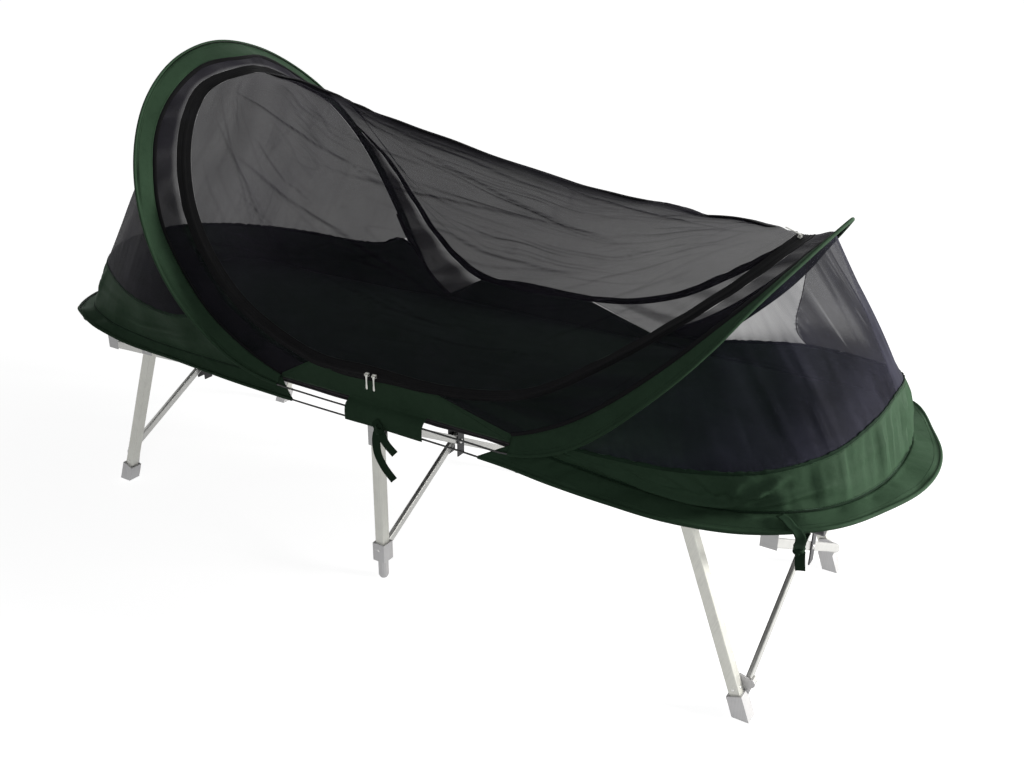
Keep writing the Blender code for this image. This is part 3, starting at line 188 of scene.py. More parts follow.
# Half outlines of the tent, far side, from the head end to the foot end
HOOP_HEAD = [
    (-1.220, 0.000, 0.450), (-1.188, 0.133, 0.453), (-1.092, 0.263, 0.469), (-1.015, 0.320, 0.485),
    (-0.940, 0.341, 0.469), (-0.865, 0.341, 0.452), (-0.605, 0.345, 0.440), (-0.420, 0.355, 0.437),
    (-0.220, 0.357, 0.435),
]
HOOP_SIDE = [(-0.220, 0.357, 0.435), (0.040, 0.357, 0.435), (0.306, 0.361, 0.435)]
HOOP_FOOT = [
    (0.306, 0.361, 0.435), (0.380, 0.368, 0.437), (0.482, 0.385, 0.440), (0.620, 0.400, 0.445),
    (0.758, 0.405, 0.450), (0.900, 0.384, 0.462), (1.034, 0.320, 0.484), (1.102, 0.195, 0.483),
    (1.140, 0.090, 0.484), (1.150, 0.000, 0.485),
]
SEAM_HEAD = [
    (-1.150, 0.000, 0.468), (-1.135, 0.120, 0.468), (-1.080, 0.215, 0.477), (-1.000, 0.282, 0.4865),
    (-0.900, 0.318, 0.4805), (-0.750, 0.328, 0.468), (-0.550, 0.335, 0.466), (-0.400, 0.341, 0.470),
    (-0.260, 0.343, 0.479),
]
SEAM_SIDE = [(-0.260, 0.343, 0.479), (0.060, 0.343, 0.479), (0.380, 0.343, 0.479)]
SEAM_FOOT = [
    (0.380, 0.343, 0.479), (0.500, 0.347, 0.474), (0.660, 0.356, 0.470), (0.800, 0.352, 0.470),
    (0.900, 0.337, 0.4800), (0.985, 0.295, 0.489), (1.040, 0.220, 0.491), (1.075, 0.120, 0.494),
    (1.085, 0.000, 0.495),
]
SKIRT_TOP_HEAD = [
    (-1.075, 0.000, 0.625), (-1.060, 0.120, 0.620), (-1.000, 0.220, 0.610), (-0.880, 0.300, 0.600),
    (-0.720, 0.360, 0.585), (-0.600, 0.378, 0.580), (-0.520, 0.383, 0.590), (-0.455, 0.385, 0.612),
]
SKIRT_TOP_FOOT = [
    (0.440, 0.342, 0.512), (0.500, 0.350, 0.512), (0.620, 0.367, 0.525), (0.770, 0.375, 0.545),
    (0.900, 0.330, 0.560), (0.995, 0.240, 0.585), (1.040, 0.120, 0.615), (1.050, 0.000, 0.630),
]
SKIRT_LOW_HEAD = [(-0.408, 0.381, 0.592), (-0.350, 0.3655, 0.540), (-0.262, 0.3445, 0.487)]
SKIRT_LOW_FOOT = [(0.382, 0.3445, 0.498)]
PIPING_HEAD = [
    (-0.655, 0.000, 1.146), (-0.675, 0.100, 1.137), (-0.672, 0.200, 1.090), (-0.645, 0.295, 1.015),
    (-0.600, 0.360, 0.920), (-0.555, 0.395, 0.820), (-0.495, 0.400, 0.715), (-0.430, 0.390, 0.620),
    (-0.350, 0.366, 0.540), (-0.260, 0.345, 0.487),
]
PIPING_SIDE = [(-0.260, 0.345, 0.487), (0.060, 0.345, 0.4935), (0.380, 0.345, 0.500)]
PIPING_FOOT = [
    (0.380, 0.345, 0.500), (0.440, 0.347, 0.525), (0.500, 0.346, 0.557), (0.5925, 0.335, 0.623),
    (0.675, 0.310, 0.697), (0.770, 0.250, 0.795), (0.835, 0.160, 0.866), (0.872, 0.070, 0.910),
    (0.888, 0.000, 0.925),
]
WIRE_HEAD = [
    (-0.735, 0.000, 1.178), (-0.727, 0.130, 1.155), (-0.690, 0.280, 1.070), (-0.630, 0.385, 0.945),
    (-0.565, 0.435, 0.810), (-0.505, 0.444, 0.700), (-0.430, 0.425, 0.590), (-0.350, 0.392, 0.508),
    (-0.295, 0.370, 0.476), (-0.260, 0.361, 0.466),
]
WIRE_SIDE = [
    (-0.260, 0.361, 0.466), (-0.180, 0.356, 0.461), (0.060, 0.3555, 0.460), (0.280, 0.358, 0.460),
    (0.380, 0.363, 0.464),
]
WIRE_FOOT = [
    (0.380, 0.363, 0.464), (0.440, 0.366, 0.478), (0.503, 0.367, 0.505),
    (0.586, 0.362, 0.563), (0.659, 0.345, 0.632), (0.722, 0.315, 0.699), (0.772, 0.280, 0.762),
    (0.820, 0.228, 0.832), (0.862, 0.155, 0.888), (0.895, 0.080, 0.932), (0.914, 0.000, 0.956),
]
ZIP_HEAD = [
    (-0.620, 0.000, 1.112), (-0.648, 0.130, 1.082), (-0.600, 0.240, 1.020), (-0.535, 0.325, 0.925),
    (-0.477, 0.370, 0.845), (-0.410, 0.388, 0.750), (-0.330, 0.385, 0.660), (-0.223, 0.368, 0.588),
    (-0.140, 0.358, 0.556),
]
ZIP_SIDE = [(-0.140, 0.358, 0.556), (0.020, 0.358, 0.556), (0.180, 0.358, 0.556)]
ZIP_FOOT = [
    (0.180, 0.358, 0.556), (0.300, 0.359, 0.570), (0.430, 0.365, 0.610), (0.560, 0.340, 0.690),
    (0.690, 0.265, 0.785), (0.780, 0.150, 0.860), (0.818, 0.060, 0.898), (0.828, 0.000, 0.905),
]
RIDGE_HEAD = [
    (-0.570, 0.000, 1.112), (-0.480, 0.000, 1.104), (-0.363, 0.000, 1.082), (-0.220, 0.000, 1.048),
]
RIDGE_SIDE = [
    (-0.220, 0.000, 1.048), (0.000, 0.000, 1.004), (0.127, 0.000, 0.982), (0.300, 0.000, 0.954),
]
RIDGE_FOOT = [
    (0.300, 0.000, 0.954), (0.450, 0.000, 0.937), (0.620, 0.000, 0.926), (0.775, 0.000, 0.922),
]

OUTLINES = {
    "hoop": (HOOP_HEAD, HOOP_SIDE, HOOP_FOOT),
    "seam": (SEAM_HEAD, SEAM_SIDE, SEAM_FOOT),
    "piping": (PIPING_HEAD, PIPING_SIDE, PIPING_FOOT),
    "wire": (WIRE_HEAD, WIRE_SIDE, WIRE_FOOT),
    "zip": (ZIP_HEAD, ZIP_SIDE, ZIP_FOOT),
    "ridge": (RIDGE_HEAD, RIDGE_SIDE, RIDGE_FOOT),
}

# Each flange's outer line, inner line and hoop, its flat steps, its creases from the inner edge and from
# the hem (seed, pitch, height, reach, slant), its waves (seed, length, height), where its pinned edge
# starts and ends, and its rows of stitches (column, side)
FLANGES = {
    "sleeve": (
        ("wire", "piping", "upper_hoop_wire"), 14,
        ((11, 0.021, 0.0011, 0.030, 0.15), (21, 0.024, 0.0012, 0.022, -0.4)),
        (31, 0.21, 0.0016), (0.0, 0.007), ((-3, 1), (-3, -1), (1, 1), (1, -1)),
    ),
    "brim": (
        ("hoop", "seam", "base_hoop_wire"), 12,
        ((41, 0.015, 0.0034, 0.026, 0.25),),
        (51, 0.16, 0.0022), (0.001, 0.008), ((-3, 1), (-3, -1)),
    ),
}

# Where the tie pulls each skirt's seam, and the ends, widths and heights of the folds from there
SKIRT_TIES = {"head": (0.70, 1.0), "foot": (0.25, 1.0)}
SKIRT_PULLS = {
    "head": (
        (0.62, 0.20, 0.008, 0.006), (0.55, 0.40, 0.009, 0.005), (0.78, 0.15, 0.009, 0.006),
        (0.86, 0.35, 0.008, 0.005),
    ),
    "foot": (
        (0.05, 0.62, 0.010, 0.0060), (0.09, 0.36, 0.009, 0.0075), (0.14, 0.18, 0.009, 0.0070),
        (0.185, 0.08, 0.008, 0.0065), (0.225, 0.06, 0.007, 0.0070), (0.27, 0.06, 0.008, 0.0060),
        (0.315, 0.14, 0.008, 0.0060), (0.12, 0.75, 0.007, 0.0045), (0.36, 0.55, 0.007, 0.0045),
    ),
}

# Rows of the foot net, of 200, where its inner seam starts at the arch and ends at the skirt
NET_FOOT_SEAM = (138.6, 161.0)
NET_SEAM_BOW = 1.4

# Folds of the slack roof net: where each starts and ends, its width and its height
DOOR_FOLDS = (
    ((0.314, -0.40), (0.60, -0.24), 0.010, 0.0050),
    ((0.10, -0.62), (0.401, -0.30), 0.009, 0.0045),
    ((0.463, -0.10), (0.734, -0.35), 0.009, 0.0050),
    ((0.35, -0.05), (0.705, -0.13), 0.009, 0.0045),
    ((0.493, -0.42), (0.68, -0.50), 0.010, 0.0035),
    ((0.62, -0.06), (0.90, -0.30), 0.008, 0.0040),
    ((0.22, -0.70), (0.52, -0.66), 0.012, 0.0030),
    ((0.35, 0.23), (0.52, 0.05), 0.008, 0.0040),
    ((0.44, 0.30), (0.633, 0.567), 0.010, 0.0045),
    ((0.40, 0.52), (0.60, 0.47), 0.010, 0.0040),
    ((0.541, 0.05), (0.75, 0.33), 0.009, 0.0045),
    ((0.30, 0.80), (0.56, 0.72), 0.010, 0.0035),
    ((0.20, 0.40), (0.42, 0.20), 0.009, 0.0040),
)

# How finely the tent is drawn, and how many folds are drawn at random
COUNTS = (101, 31, 101)
DOOR_ROWS = 420
DOOR_COLUMNS = 221
DOOR_FINE_FOLDS = 120
SKIRT_LONG_FOLDS = 26
FLOOR_FOLDS = 22
WAVE_COUNT = 6

# Names, sides, and points inside the tent that normals face away from
PARTS = ("head", "side", "foot")
ENDS = ("head", "foot")
SIDES = (-1, 1)
TENT = "bed_and_tent"
INSIDE = (0.0, 0.0, 0.6)
BAND_INSIDE = (0.05, 0.0, 0.48)

# Looks: the nets' thread, the wave texture's band spacing at scale 1, and where the floor's glow changes
NET_BLACK = (0.014, 0.013, 0.018)
NET_THREAD = 0.0016
END_NET_LINES = (16.0, 2.0)
BAND_SPACING = 0.3142
GLOW_REACH = (1.3, 4.5)


# Curves and grids


def guide(end, neighbour):
    """The point beyond a curve's end: its neighbour's mirror image where the end is on the centre line."""
    if end[1] == 0 and neighbour[1] != 0:
        return neighbour * np.array([1.0, -1.0, 1.0])
    return 2 * end - neighbour


def smooth_curve(points, count, before=None, after=None):
    """Points at equal steps along a smooth curve through the given points, guided past its ends."""
    control = np.array(points, float)
    first = guide(control[0], control[1]) if before is None else np.array(before, float)
    last = guide(control[-1], control[-2]) if after is None else np.array(after, float)
    padded = np.vstack([first, control, last])
    gaps = np.linalg.norm(np.diff(padded, axis=0), axis=1)[:, None]
    slopes = np.diff(padded, axis=0) / gaps
    tangents = (slopes[:-1] * gaps[1:] + slopes[1:] * gaps[:-1]) / (gaps[:-1] + gaps[1:])
    t = np.linspace(0, 1, 24, endpoint=False)[:, None]
    fine = []
    for i in range(len(control) - 1):
        reach = gaps[i + 1]
        fine.append(
            control[i] * (2 * t**3 - 3 * t**2 + 1)
            + control[i + 1] * (3 * t**2 - 2 * t**3)
            + tangents[i] * reach * (t**3 - 2 * t**2 + t)
            + tangents[i + 1] * reach * (t**3 - t**2)
        )
    return even_steps(np.vstack([*fine, control[-1:]]), count)


def even_steps(line, count):
    """The line's points resampled at equal lengths."""
    along = lengths(line)
    return sampled(line, along, np.linspace(0, along[-1], count))


def even_rows(line, count):
    """The line's points resampled by their order, so that paired lines stay paired."""
    return sampled(line, np.arange(len(line)), np.linspace(0, len(line) - 1, count))


def sampled(line, along, at):
    """The line's points at the wanted places, where along gives each known point's place."""
    return np.stack([np.interp(at, along, line[:, k]) for k in range(3)], axis=1)


def lengths(line):
    """How far along the line each point lies."""
    return np.r_[0, np.cumsum(np.linalg.norm(np.diff(line, axis=0), axis=1))]


def unit(vectors):
    """The vectors at length 1."""
    return vectors / np.maximum(np.linalg.norm(vectors, axis=-1, keepdims=True), 1e-9)


def square_to(tangent, vectors):
    """The directions of the vectors' parts at right angles to the tangents."""
    return unit(vectors - tangent * np.sum(vectors * tangent, axis=1, keepdims=True))


def mirrored(points):
    """The points on the other side of the centre line."""
    return points * np.array([1.0, -1.0, 1.0])


def both_sides(half, part):
    """A head or foot half line as one run from the near side, over the middle, to the far side."""
    ordered = half if part == "head" else half[::-1]
    return np.vstack([mirrored(ordered)[::-1], ordered[1:]])


def pulled_in(edge, towards, distance):
    """The edge's points moved by a distance towards those of another line."""
    return edge + unit(towards - edge) * distance


def span(start, stop, steps):
    """A grid of straight columns from one line's points to the other's."""
    share = np.linspace(0, 1, steps)[:, None, None]
    return np.swapaxes(start[None] * (1 - share) + stop[None] * share, 0, 1)


def grid_normals(grid):
    """The normals at a grid's points, on whichever side its order gives."""
    return unit(np.cross(np.gradient(grid, axis=0), np.gradient(grid, axis=1)))


def face_normals(grid, away_from):
    """The grid's normals, all on the side away from a point."""
    normals = grid_normals(grid)
    if np.sum(normals * (grid - np.array(away_from))) < 0:
        normals = -normals
    return normals


def surface_lengths(grid):
    """Lengths along the rows and across the columns of a grid, in metres."""
    down = np.linalg.norm(np.diff(grid, axis=0), axis=2).mean(axis=1)
    over = np.linalg.norm(np.diff(grid, axis=1), axis=2).mean(axis=0)
    along = np.r_[0, np.cumsum(down)][:, None] + np.zeros(grid.shape[1])
    across = np.r_[0, np.cumsum(over)][None] + np.zeros((grid.shape[0], 1))
    return along, across


def measured(grid, away_from):
    """The grid's outward normals and its lengths along and across."""
    return face_normals(grid, away_from), *surface_lengths(grid)


def creases(along, across, seed, pitch, height, reach, slant=0.0, width=0.35):
    """Small folds that start at the edge where across is 0 and fade with the distance from it."""
    rng = np.random.default_rng(seed)
    total = np.zeros_like(along)
    place = along.min()
    while place < along.max():
        place += pitch * rng.uniform(0.55, 1.45)
        wide = pitch * width * rng.uniform(0.6, 1.4)
        fade = reach * rng.uniform(0.5, 1.5)
        high = height * rng.uniform(0.35, 1.0) * rng.choice([-0.6, 1.0])
        lean = slant + rng.normal(0, 0.12)
        distance = (along - place - lean * across) / (wide * (1 + across / fade))
        total += high * np.exp(-(distance**2)) * np.exp(-((across / fade) ** 2))
    return total


def waves(along, across, seed, length, height, stretch=2.5):
    """Slow uneven undulation, longer across than along by the stretch."""
    rng = np.random.default_rng(seed)
    total = np.zeros_like(along)
    for _ in range(WAVE_COUNT):
        size = length * rng.uniform(0.6, 1.6)
        phase = rng.uniform(0, 2 * math.pi, 2)
        tilt = rng.normal(0, 1) / (size * stretch)
        total += np.sin(2 * math.pi * (along / size + across * tilt) + phase[0])
    return height * total / math.sqrt(WAVE_COUNT)


def fold_reach(grid, route, reach):
    """Each grid point's distance from a fold's line, and a weight that thins the fold out at its ends."""
    points = grid.reshape(-1, 3)
    low, high = route.min(axis=0) - reach, route.max(axis=0) + reach
    near = np.flatnonzero(((points > low) & (points < high)).all(axis=1))
    points = points[near]
    best = np.full(len(points), 1e3)
    share = np.zeros(len(points))
    total = lengths(route)
    for i in range(len(route) - 1):
        a, step = route[i], route[i + 1] - route[i]
        t = np.clip(((points - a) @ step) / max(step @ step, 1e-12), 0, 1)
        distance = np.linalg.norm(points - (a + t[:, None] * step), axis=1)
        nearer = distance < best
        best[nearer] = distance[nearer]
        share[nearer] = (total[i] + t[nearer] * (total[i + 1] - total[i])) / total[-1]
    away = np.full(grid.shape[0] * grid.shape[1], 1e3)
    thin = np.zeros_like(away)
    away[near] = best
    thin[near] = np.sin(math.pi * np.clip(share, 0, 1)) ** 0.6
    return away.reshape(grid.shape[:2]), thin.reshape(grid.shape[:2])


def add_folds(grid, folds):
    """Heights and extra thread cover of folds, each a route of points, a width, a height and a cover."""
    drawn = np.zeros(grid.shape[:2])
    cover = np.zeros(grid.shape[:2])
    for route, width, height, darker in folds:
        away, thin = fold_reach(grid, route, width * 4)
        sharp = np.exp(-((away / width) ** 2))
        drawn += height * thin * (sharp - 0.45 * np.exp(-((away / (2.4 * width)) ** 2)))
        cover += darker * thin * np.exp(-((away / (0.55 * width)) ** 2))
    return drawn, cover


def grid_point(grid, along_share, across_share):
    """The point of a grid at a share of its rows and of its columns."""
    i = np.clip(along_share * (grid.shape[0] - 1), 0, grid.shape[0] - 1.001)
    j = np.clip(across_share * (grid.shape[1] - 1), 0, grid.shape[1] - 1.001)
    a, b = int(i), int(j)
    s, t = i - a, j - b
    first = grid[a, b] * (1 - t) + grid[a, b + 1] * t
    second = grid[a + 1, b] * (1 - t) + grid[a + 1, b + 1] * t
    return first * (1 - s) + second * s


def declare(obj, grids):
    """Declares a cloth whose flat size is what its drawn surface measures."""
    width = length = area = 0.0
    for grid in grids:
        along, across = surface_lengths(grid)
        length = max(length, along.max())
        width += across.max() if len(grid) > 4 else 0
        corner = grid[:-1, :-1]
        sides = np.cross(grid[1:, :-1] - corner, grid[:-1, 1:] - corner)
        area += np.linalg.norm(sides, axis=2).sum()
    area = min(area, width * length)
    print(f"SHEET {obj.name} {width:.3f} x {length:.3f} m, {area:.3f} m2")


# Meshes


def add_mesh(name, vertices, faces, uv, dense=None):
    """A smooth-shaded object. uv and dense have a value for each vertex."""
    mesh = bpy.data.meshes.new(name)
    mesh.from_pydata([tuple(map(float, v)) for v in vertices], [], faces)
    obj = bpy.data.objects.new(name, mesh)
    bpy.context.scene.collection.objects.link(obj)
    layer = mesh.uv_layers.new(name="UVMap")
    index = np.empty(len(mesh.loops), np.int32)
    mesh.loops.foreach_get("vertex_index", index)
    layer.data.foreach_set("uv", np.asarray(uv, np.float32)[index].ravel())
    if dense is not None:
        attribute = mesh.attributes.new("dense", "FLOAT", "POINT")
        attribute.data.foreach_set("value", np.asarray(dense, np.float32))
    mesh.shade_smooth()
    return obj


def grid_parts(grid, first=0, closed=False):
    """The faces of a grid, which closed joins from its last row to its first."""
    rows, columns = grid.shape[:2]
    faces = []
    for i in range(rows if closed else rows - 1):
        above = first + i * columns
        below = first + ((i + 1) % rows) * columns
        faces += [(above + j, above + j + 1, below + j + 1, below + j) for j in range(columns - 1)]
    return faces


def sheet_mesh(name, grids, thickness=0.0, dense=None, closed=False):
    """A cloth from one or more grids, welded where they meet, with UVs in metres."""
    vertices, faces, uvs, weights = [], [], [], []
    for number, grid in enumerate(grids):
        faces += grid_parts(grid, len(vertices), closed)
        vertices.extend(grid.reshape(-1, 3))
        along, across = surface_lengths(grid)
        uvs.extend(np.stack([along, across], axis=2).reshape(-1, 2))
        weights.extend(dense[number].ravel() if dense is not None else np.zeros(along.size))
    obj = outward(add_mesh(name, vertices, faces, uvs, weights), WELD)
    if thickness:
        solidify = obj.modifiers.new("Thickness", "SOLIDIFY")
        solidify.thickness = thickness
        solidify.offset = 0.0
    return obj


def ring_faces(count, sides, first, closed=False):
    """The faces between rings of points, with a cap at each end of an open run."""
    faces = []
    for i in range(count if closed else count - 1):
        a, b = first + i * sides, first + ((i + 1) % count) * sides
        for j in range(sides):
            k = (j + 1) % sides
            faces.append((a + j, a + k, b + k, b + j))
    if not closed:
        faces.append(tuple(first + j for j in reversed(range(sides))))
        faces.append(tuple(first + (count - 1) * sides + j for j in range(sides)))
    return faces


def tube_parts(route, radii, first=0, sides=10, closed=False, up=(0.0, 0.0, 1.0)):
    """Points, faces and UVs of a tube along a route. radii are across and along the up directions."""
    if closed:
        tangent = unit(np.roll(route, -1, axis=0) - np.roll(route, 1, axis=0))
    else:
        tangent = unit(np.gradient(route, axis=0))
    up = square_to(tangent, up + np.zeros_like(route))
    side = np.cross(tangent, up)
    angles = np.linspace(0, 2 * math.pi, sides, endpoint=False)
    radii = np.broadcast_to(np.asarray(radii, float), (len(route), 2))
    ring = side[:, None] * np.cos(angles)[None, :, None] * radii[:, None, :1]
    ring = ring + up[:, None] * np.sin(angles)[None, :, None] * radii[:, None, 1:]
    points = (route[:, None] + ring).reshape(-1, 3)
    along = np.repeat(lengths(route), sides)
    around = np.tile(angles * radii[:, :1].mean(), len(route))
    faces = ring_faces(len(route), sides, first, closed)
    return list(points), faces, list(np.stack([along, around], axis=1))


def tube_mesh(name, route, radii, sides=10, **shape):
    """A closed tube along a route."""
    return outward(add_mesh(name, *tube_parts(np.asarray(route, float), radii, 0, sides, **shape)))


def outward(obj, weld=0.0):
    """Welds a mesh's points that are nearer than the weld and turns its faces outwards."""
    work = bmesh.new()
    work.from_mesh(obj.data)
    if weld:
        bmesh.ops.remove_doubles(work, verts=work.verts, dist=weld)
    bmesh.ops.recalc_face_normals(work, faces=work.faces)
    work.to_mesh(obj.data)
    work.free()
    return obj


def gather(whole, more):
    """Adds the points, faces and UVs of one more piece."""
    for kept, added in zip(whole, more):
        kept += added


def stitches(name, rows, length=0.0034, pitch=0.0048, radius=0.00045):
    """Short raised threads along rows of points, each row with its own outward directions."""
    whole = ([], [], [])
    for line, normals in rows:
        along = lengths(line)
        for start in np.arange(pitch, along[-1] - length, pitch):
            at = np.array([start, start + length / 2, start + length])
            up = unit(sampled(normals, along, at))
            points = sampled(line, along, at) + up * np.array([[-0.2], [0.9], [-0.2]]) * radius
            gather(whole, tube_parts(points, (radius, radius * 0.8), len(whole[0]), 5, up=up))
    return add_mesh(name, *whole)


def seam_rows(grid, normals, places):
    """Lines on a cloth's surface for stitches, where each place is a column and a side."""
    rows = []
    for column, side in places:
        up = side * normals[:, column]
        rows.append((grid[:, column] + up * (CLOTH / 2), up))
    return rows


def solid_box(low, high, bevel, matrix):
    """A box with rounded edges as a bmesh."""
    work = bmesh.new()
    size = Vector(high) - Vector(low)
    centre = (Vector(high) + Vector(low)) / 2
    place = Matrix.Translation(centre) @ Matrix.Diagonal((*size, 1.0))
    bmesh.ops.create_cube(work, size=1.0, matrix=place)
    return rounded(work, bevel, matrix)


def rounded(work, bevel, matrix):
    """Rounds a bmesh's edges and moves it to its place."""
    bmesh.ops.bevel(work, geom=work.edges[:], offset=bevel, segments=2, profile=0.5, affect="EDGES")
    bmesh.ops.transform(work, matrix=matrix, verts=work.verts)
    return work


def bridge(work, rings):
    """A bmesh's faces between neighbouring rings of points."""
    for low, high in zip(rings, rings[1:]):
        for k in range(len(low)):
            after = (k + 1) % len(low)
            work.faces.new((low[k], low[after], high[after], high[k]))


def join_bmeshes(name, works):
    """One object of several bmeshes, smooth but for its sharp edges."""
    mesh = bpy.data.meshes.new(name)
    whole = bmesh.new()
    for work in works:
        piece = bpy.data.meshes.new("piece")
        work.to_mesh(piece)
        work.free()
        whole.from_mesh(piece)
        bpy.data.meshes.remove(piece)
    bmesh.ops.recalc_face_normals(whole, faces=whole.faces)
    whole.to_mesh(mesh)
    whole.free()
    obj = bpy.data.objects.new(name, mesh)
    bpy.context.scene.collection.objects.link(obj)
    mesh.shade_smooth()
    mesh.set_sharp_from_angle(angle=math.radians(35))
    return obj


def rivet(at, direction, radius, height):
    """A low domed rivet head as a bmesh."""
    work = bmesh.new()
    rings = []
    for wide, high in RIVET_PROFILE:
        angles = [2 * math.pi * k / RIVET_SIDES for k in range(RIVET_SIDES)]
        spots = [(radius * wide * math.cos(a), radius * wide * math.sin(a), height * high) for a in angles]
        rings.append([work.verts.new(spot) for spot in spots])
    top = work.verts.new((0, 0, height))
    bridge(work, rings)
    for k in range(RIVET_SIDES):
        work.faces.new((rings[-1][k], rings[-1][(k + 1) % RIVET_SIDES], top))
    work.faces.new(list(reversed(rings[0])))
    turn = Vector(direction).to_track_quat("Z", "Y").to_matrix().to_4x4()
    bmesh.ops.transform(work, matrix=Matrix.Translation(at) @ turn, verts=work.verts)
    return work


# Materials


def link_or_set(tree, socket, value):
    """Links a socket's value to an input, or sets the input to a number."""
    if isinstance(value, bpy.types.NodeSocket):
        tree.links.new(value, socket)
    else:
        socket.default_value = value


def add_node(tree, kind, inputs=None, **settings):
    """A new node with its inputs and settings."""
    node = tree.nodes.new(kind)
    for key, value in settings.items():
        setattr(node, key, value)
    for key, value in (inputs or {}).items():
        link_or_set(tree, node.inputs[key], value)
    return node


def start_material(name, roughness, metallic=0.0, specular=0.5):
    """A new material, with its tree, its shader, and the object and UV coordinates."""
    material = bpy.data.materials.new(name)
    material.use_nodes = True
    tree = material.node_tree
    shader = tree.nodes["Principled BSDF"]
    shader.inputs["Roughness"].default_value = roughness
    shader.inputs["Metallic"].default_value = metallic
    shader.inputs["Specular IOR Level"].default_value = specular
    space = add_node(tree, "ShaderNodeTexCoord")
    return material, tree, shader, space.outputs["Object"], space.outputs["UV"]


def paint(tree, shader, factor, colour, tones):
    """Colours the shader by a factor, where each tone is the factor's value and the colour's multiple."""
    ramp = add_node(tree, "ShaderNodeValToRGB", {"Fac": factor})
    elements = ramp.color_ramp.elements
    while len(elements) < len(tones):
        elements.new(0.5)
    for element, (place, multiple) in zip(elements, tones):
        element.position = place
        element.color = (*(part * multiple for part in colour), 1.0)
    tree.links.new(ramp.outputs["Color"], shader.inputs["Base Color"])


def noise(tree, coordinates, scale, detail, roughness):
    """A noise texture's factor."""
    inputs = {"Vector": coordinates, "Scale": scale, "Detail": detail, "Roughness": roughness}
    return add_node(tree, "ShaderNodeTexNoise", inputs).outputs["Fac"]


def stretched(tree, coordinates, scale, rotation=(0.0, 0.0, 0.0)):
    """Coordinates scaled and turned."""
    inputs = {"Vector": coordinates, "Scale": scale, "Rotation": rotation}
    return add_node(tree, "ShaderNodeMapping", inputs).outputs["Vector"]


def maths(tree, operation, first, second=0.0, third=0.0):
    """A math node's result."""
    node = add_node(tree, "ShaderNodeMath", operation=operation)
    for socket, value in zip(node.inputs, (first, second, third)):
        link_or_set(tree, socket, value)
    return node.outputs[0]


def mapped(tree, value, start, stop, low=0.0, high=1.0, **settings):
    """A value's place between start and stop, taken to the range from low to high."""
    inputs = {"Value": value, "From Min": start, "From Max": stop, "To Min": low, "To Max": high}
    return add_node(tree, "ShaderNodeMapRange", inputs, **settings).outputs["Result"]


def threads(tree, coordinates, period, axis):
    """Even bands across the UVs, a thread to each period."""
    inputs = {"Vector": coordinates, "Scale": BAND_SPACING / period, "Distortion": 0.0}
    return add_node(tree, "ShaderNodeTexWave", inputs, bands_direction=axis).outputs["Fac"]


def woven(tree, uv, period):
    """Threads both ways."""
    return maths(tree, "MAXIMUM", threads(tree, uv, period, "X"), threads(tree, uv, period, "Y"))


def bumped(tree, shader, layers):
    """Adds bump layers, each a height, a depth in metres and a strength."""
    inputs = {}
    for height, distance, strength in layers:
        inputs.update({"Height": height, "Distance": distance, "Strength": strength})
        inputs["Normal"] = add_node(tree, "ShaderNodeBump", inputs).outputs["Normal"]
    tree.links.new(inputs["Normal"], shader.inputs["Normal"])


def cloth_material(name, colour, roughness=0.62, thread=0.0009, creasing=0.5, sheen=0.0):
    """Thin woven cloth with a soft sheen, faint blotches and small creases."""
    material, tree, shader, place, uv = start_material(name, roughness, specular=0.05)
    shader.inputs["Sheen Weight"].default_value = sheen
    shader.inputs["Sheen Roughness"].default_value = 0.4
    blotch = noise(tree, place, 7.0, 4.0, 0.6)
    fine = noise(tree, place, 90.0, 5.0, 0.7)
    mixed = maths(tree, "MULTIPLY_ADD", fine, 0.35, maths(tree, "MULTIPLY", blotch, 0.65))
    paint(tree, shader, mixed, colour, ((0.30, 0.78), (0.5, 1.0), (0.72, 1.18)))
    weave = woven(tree, uv, thread)
    crumple = noise(tree, stretched(tree, place, (1.0, 1.0, 1.6)), 34.0, 4.0, 0.55)
    bumped(tree, shader, [(crumple, 0.0022, creasing), (fine, 0.0006, 0.25), (weave, 0.00012, 0.5)])
    return material


def net_material(name, cover, colour=NET_BLACK, lines=(2.2, 15.0), turn=0.2):
    """Fine see-through net: its cover is the share that is thread, more where it bunches or creases."""
    material, tree, shader, place, uv = start_material(name, 0.6, specular=0.04)
    bunch = add_node(tree, "ShaderNodeAttribute", attribute_name="dense").outputs["Fac"]
    cloudy = noise(tree, stretched(tree, place, (1.0, 2.2, 2.2)), 5.0, 4.0, 0.6)
    wrinkled = noise(tree, stretched(tree, uv, (*lines, 1.0), (0.0, 0.0, turn)), 1.0, 2.0, 0.5)
    from_middle = maths(tree, "ABSOLUTE", maths(tree, "SUBTRACT", wrinkled, 0.5))
    line = mapped(tree, from_middle, 0.0, 0.022, 1.0, 0.0)
    broken = noise(tree, stretched(tree, uv, (5.0, 5.0, 1.0)), 1.0, 2.0, 0.5)
    crease = maths(tree, "MULTIPLY", line, mapped(tree, broken, 0.42, 0.60))
    mesh = woven(tree, uv, NET_THREAD)
    value = maths(tree, "MULTIPLY_ADD", maths(tree, "SUBTRACT", cloudy, 0.5), 0.07, cover)
    value = maths(tree, "MULTIPLY_ADD", maths(tree, "SUBTRACT", mesh, 0.68), 0.14, value)
    value = maths(tree, "MULTIPLY_ADD", crease, 0.04, value)
    value = maths(tree, "ADD", value, bunch)
    alpha = add_node(tree, "ShaderNodeClamp", {"Value": value, "Min": 0.05, "Max": 0.97})
    tree.links.new(alpha.outputs["Result"], shader.inputs["Alpha"])
    paint(tree, shader, cloudy, colour, ((0.3, 0.7), (0.7, 1.5)))
    bumped(tree, shader, [(crease, 0.0010, 0.3), (mesh, 0.0002, 0.4)])
    return material


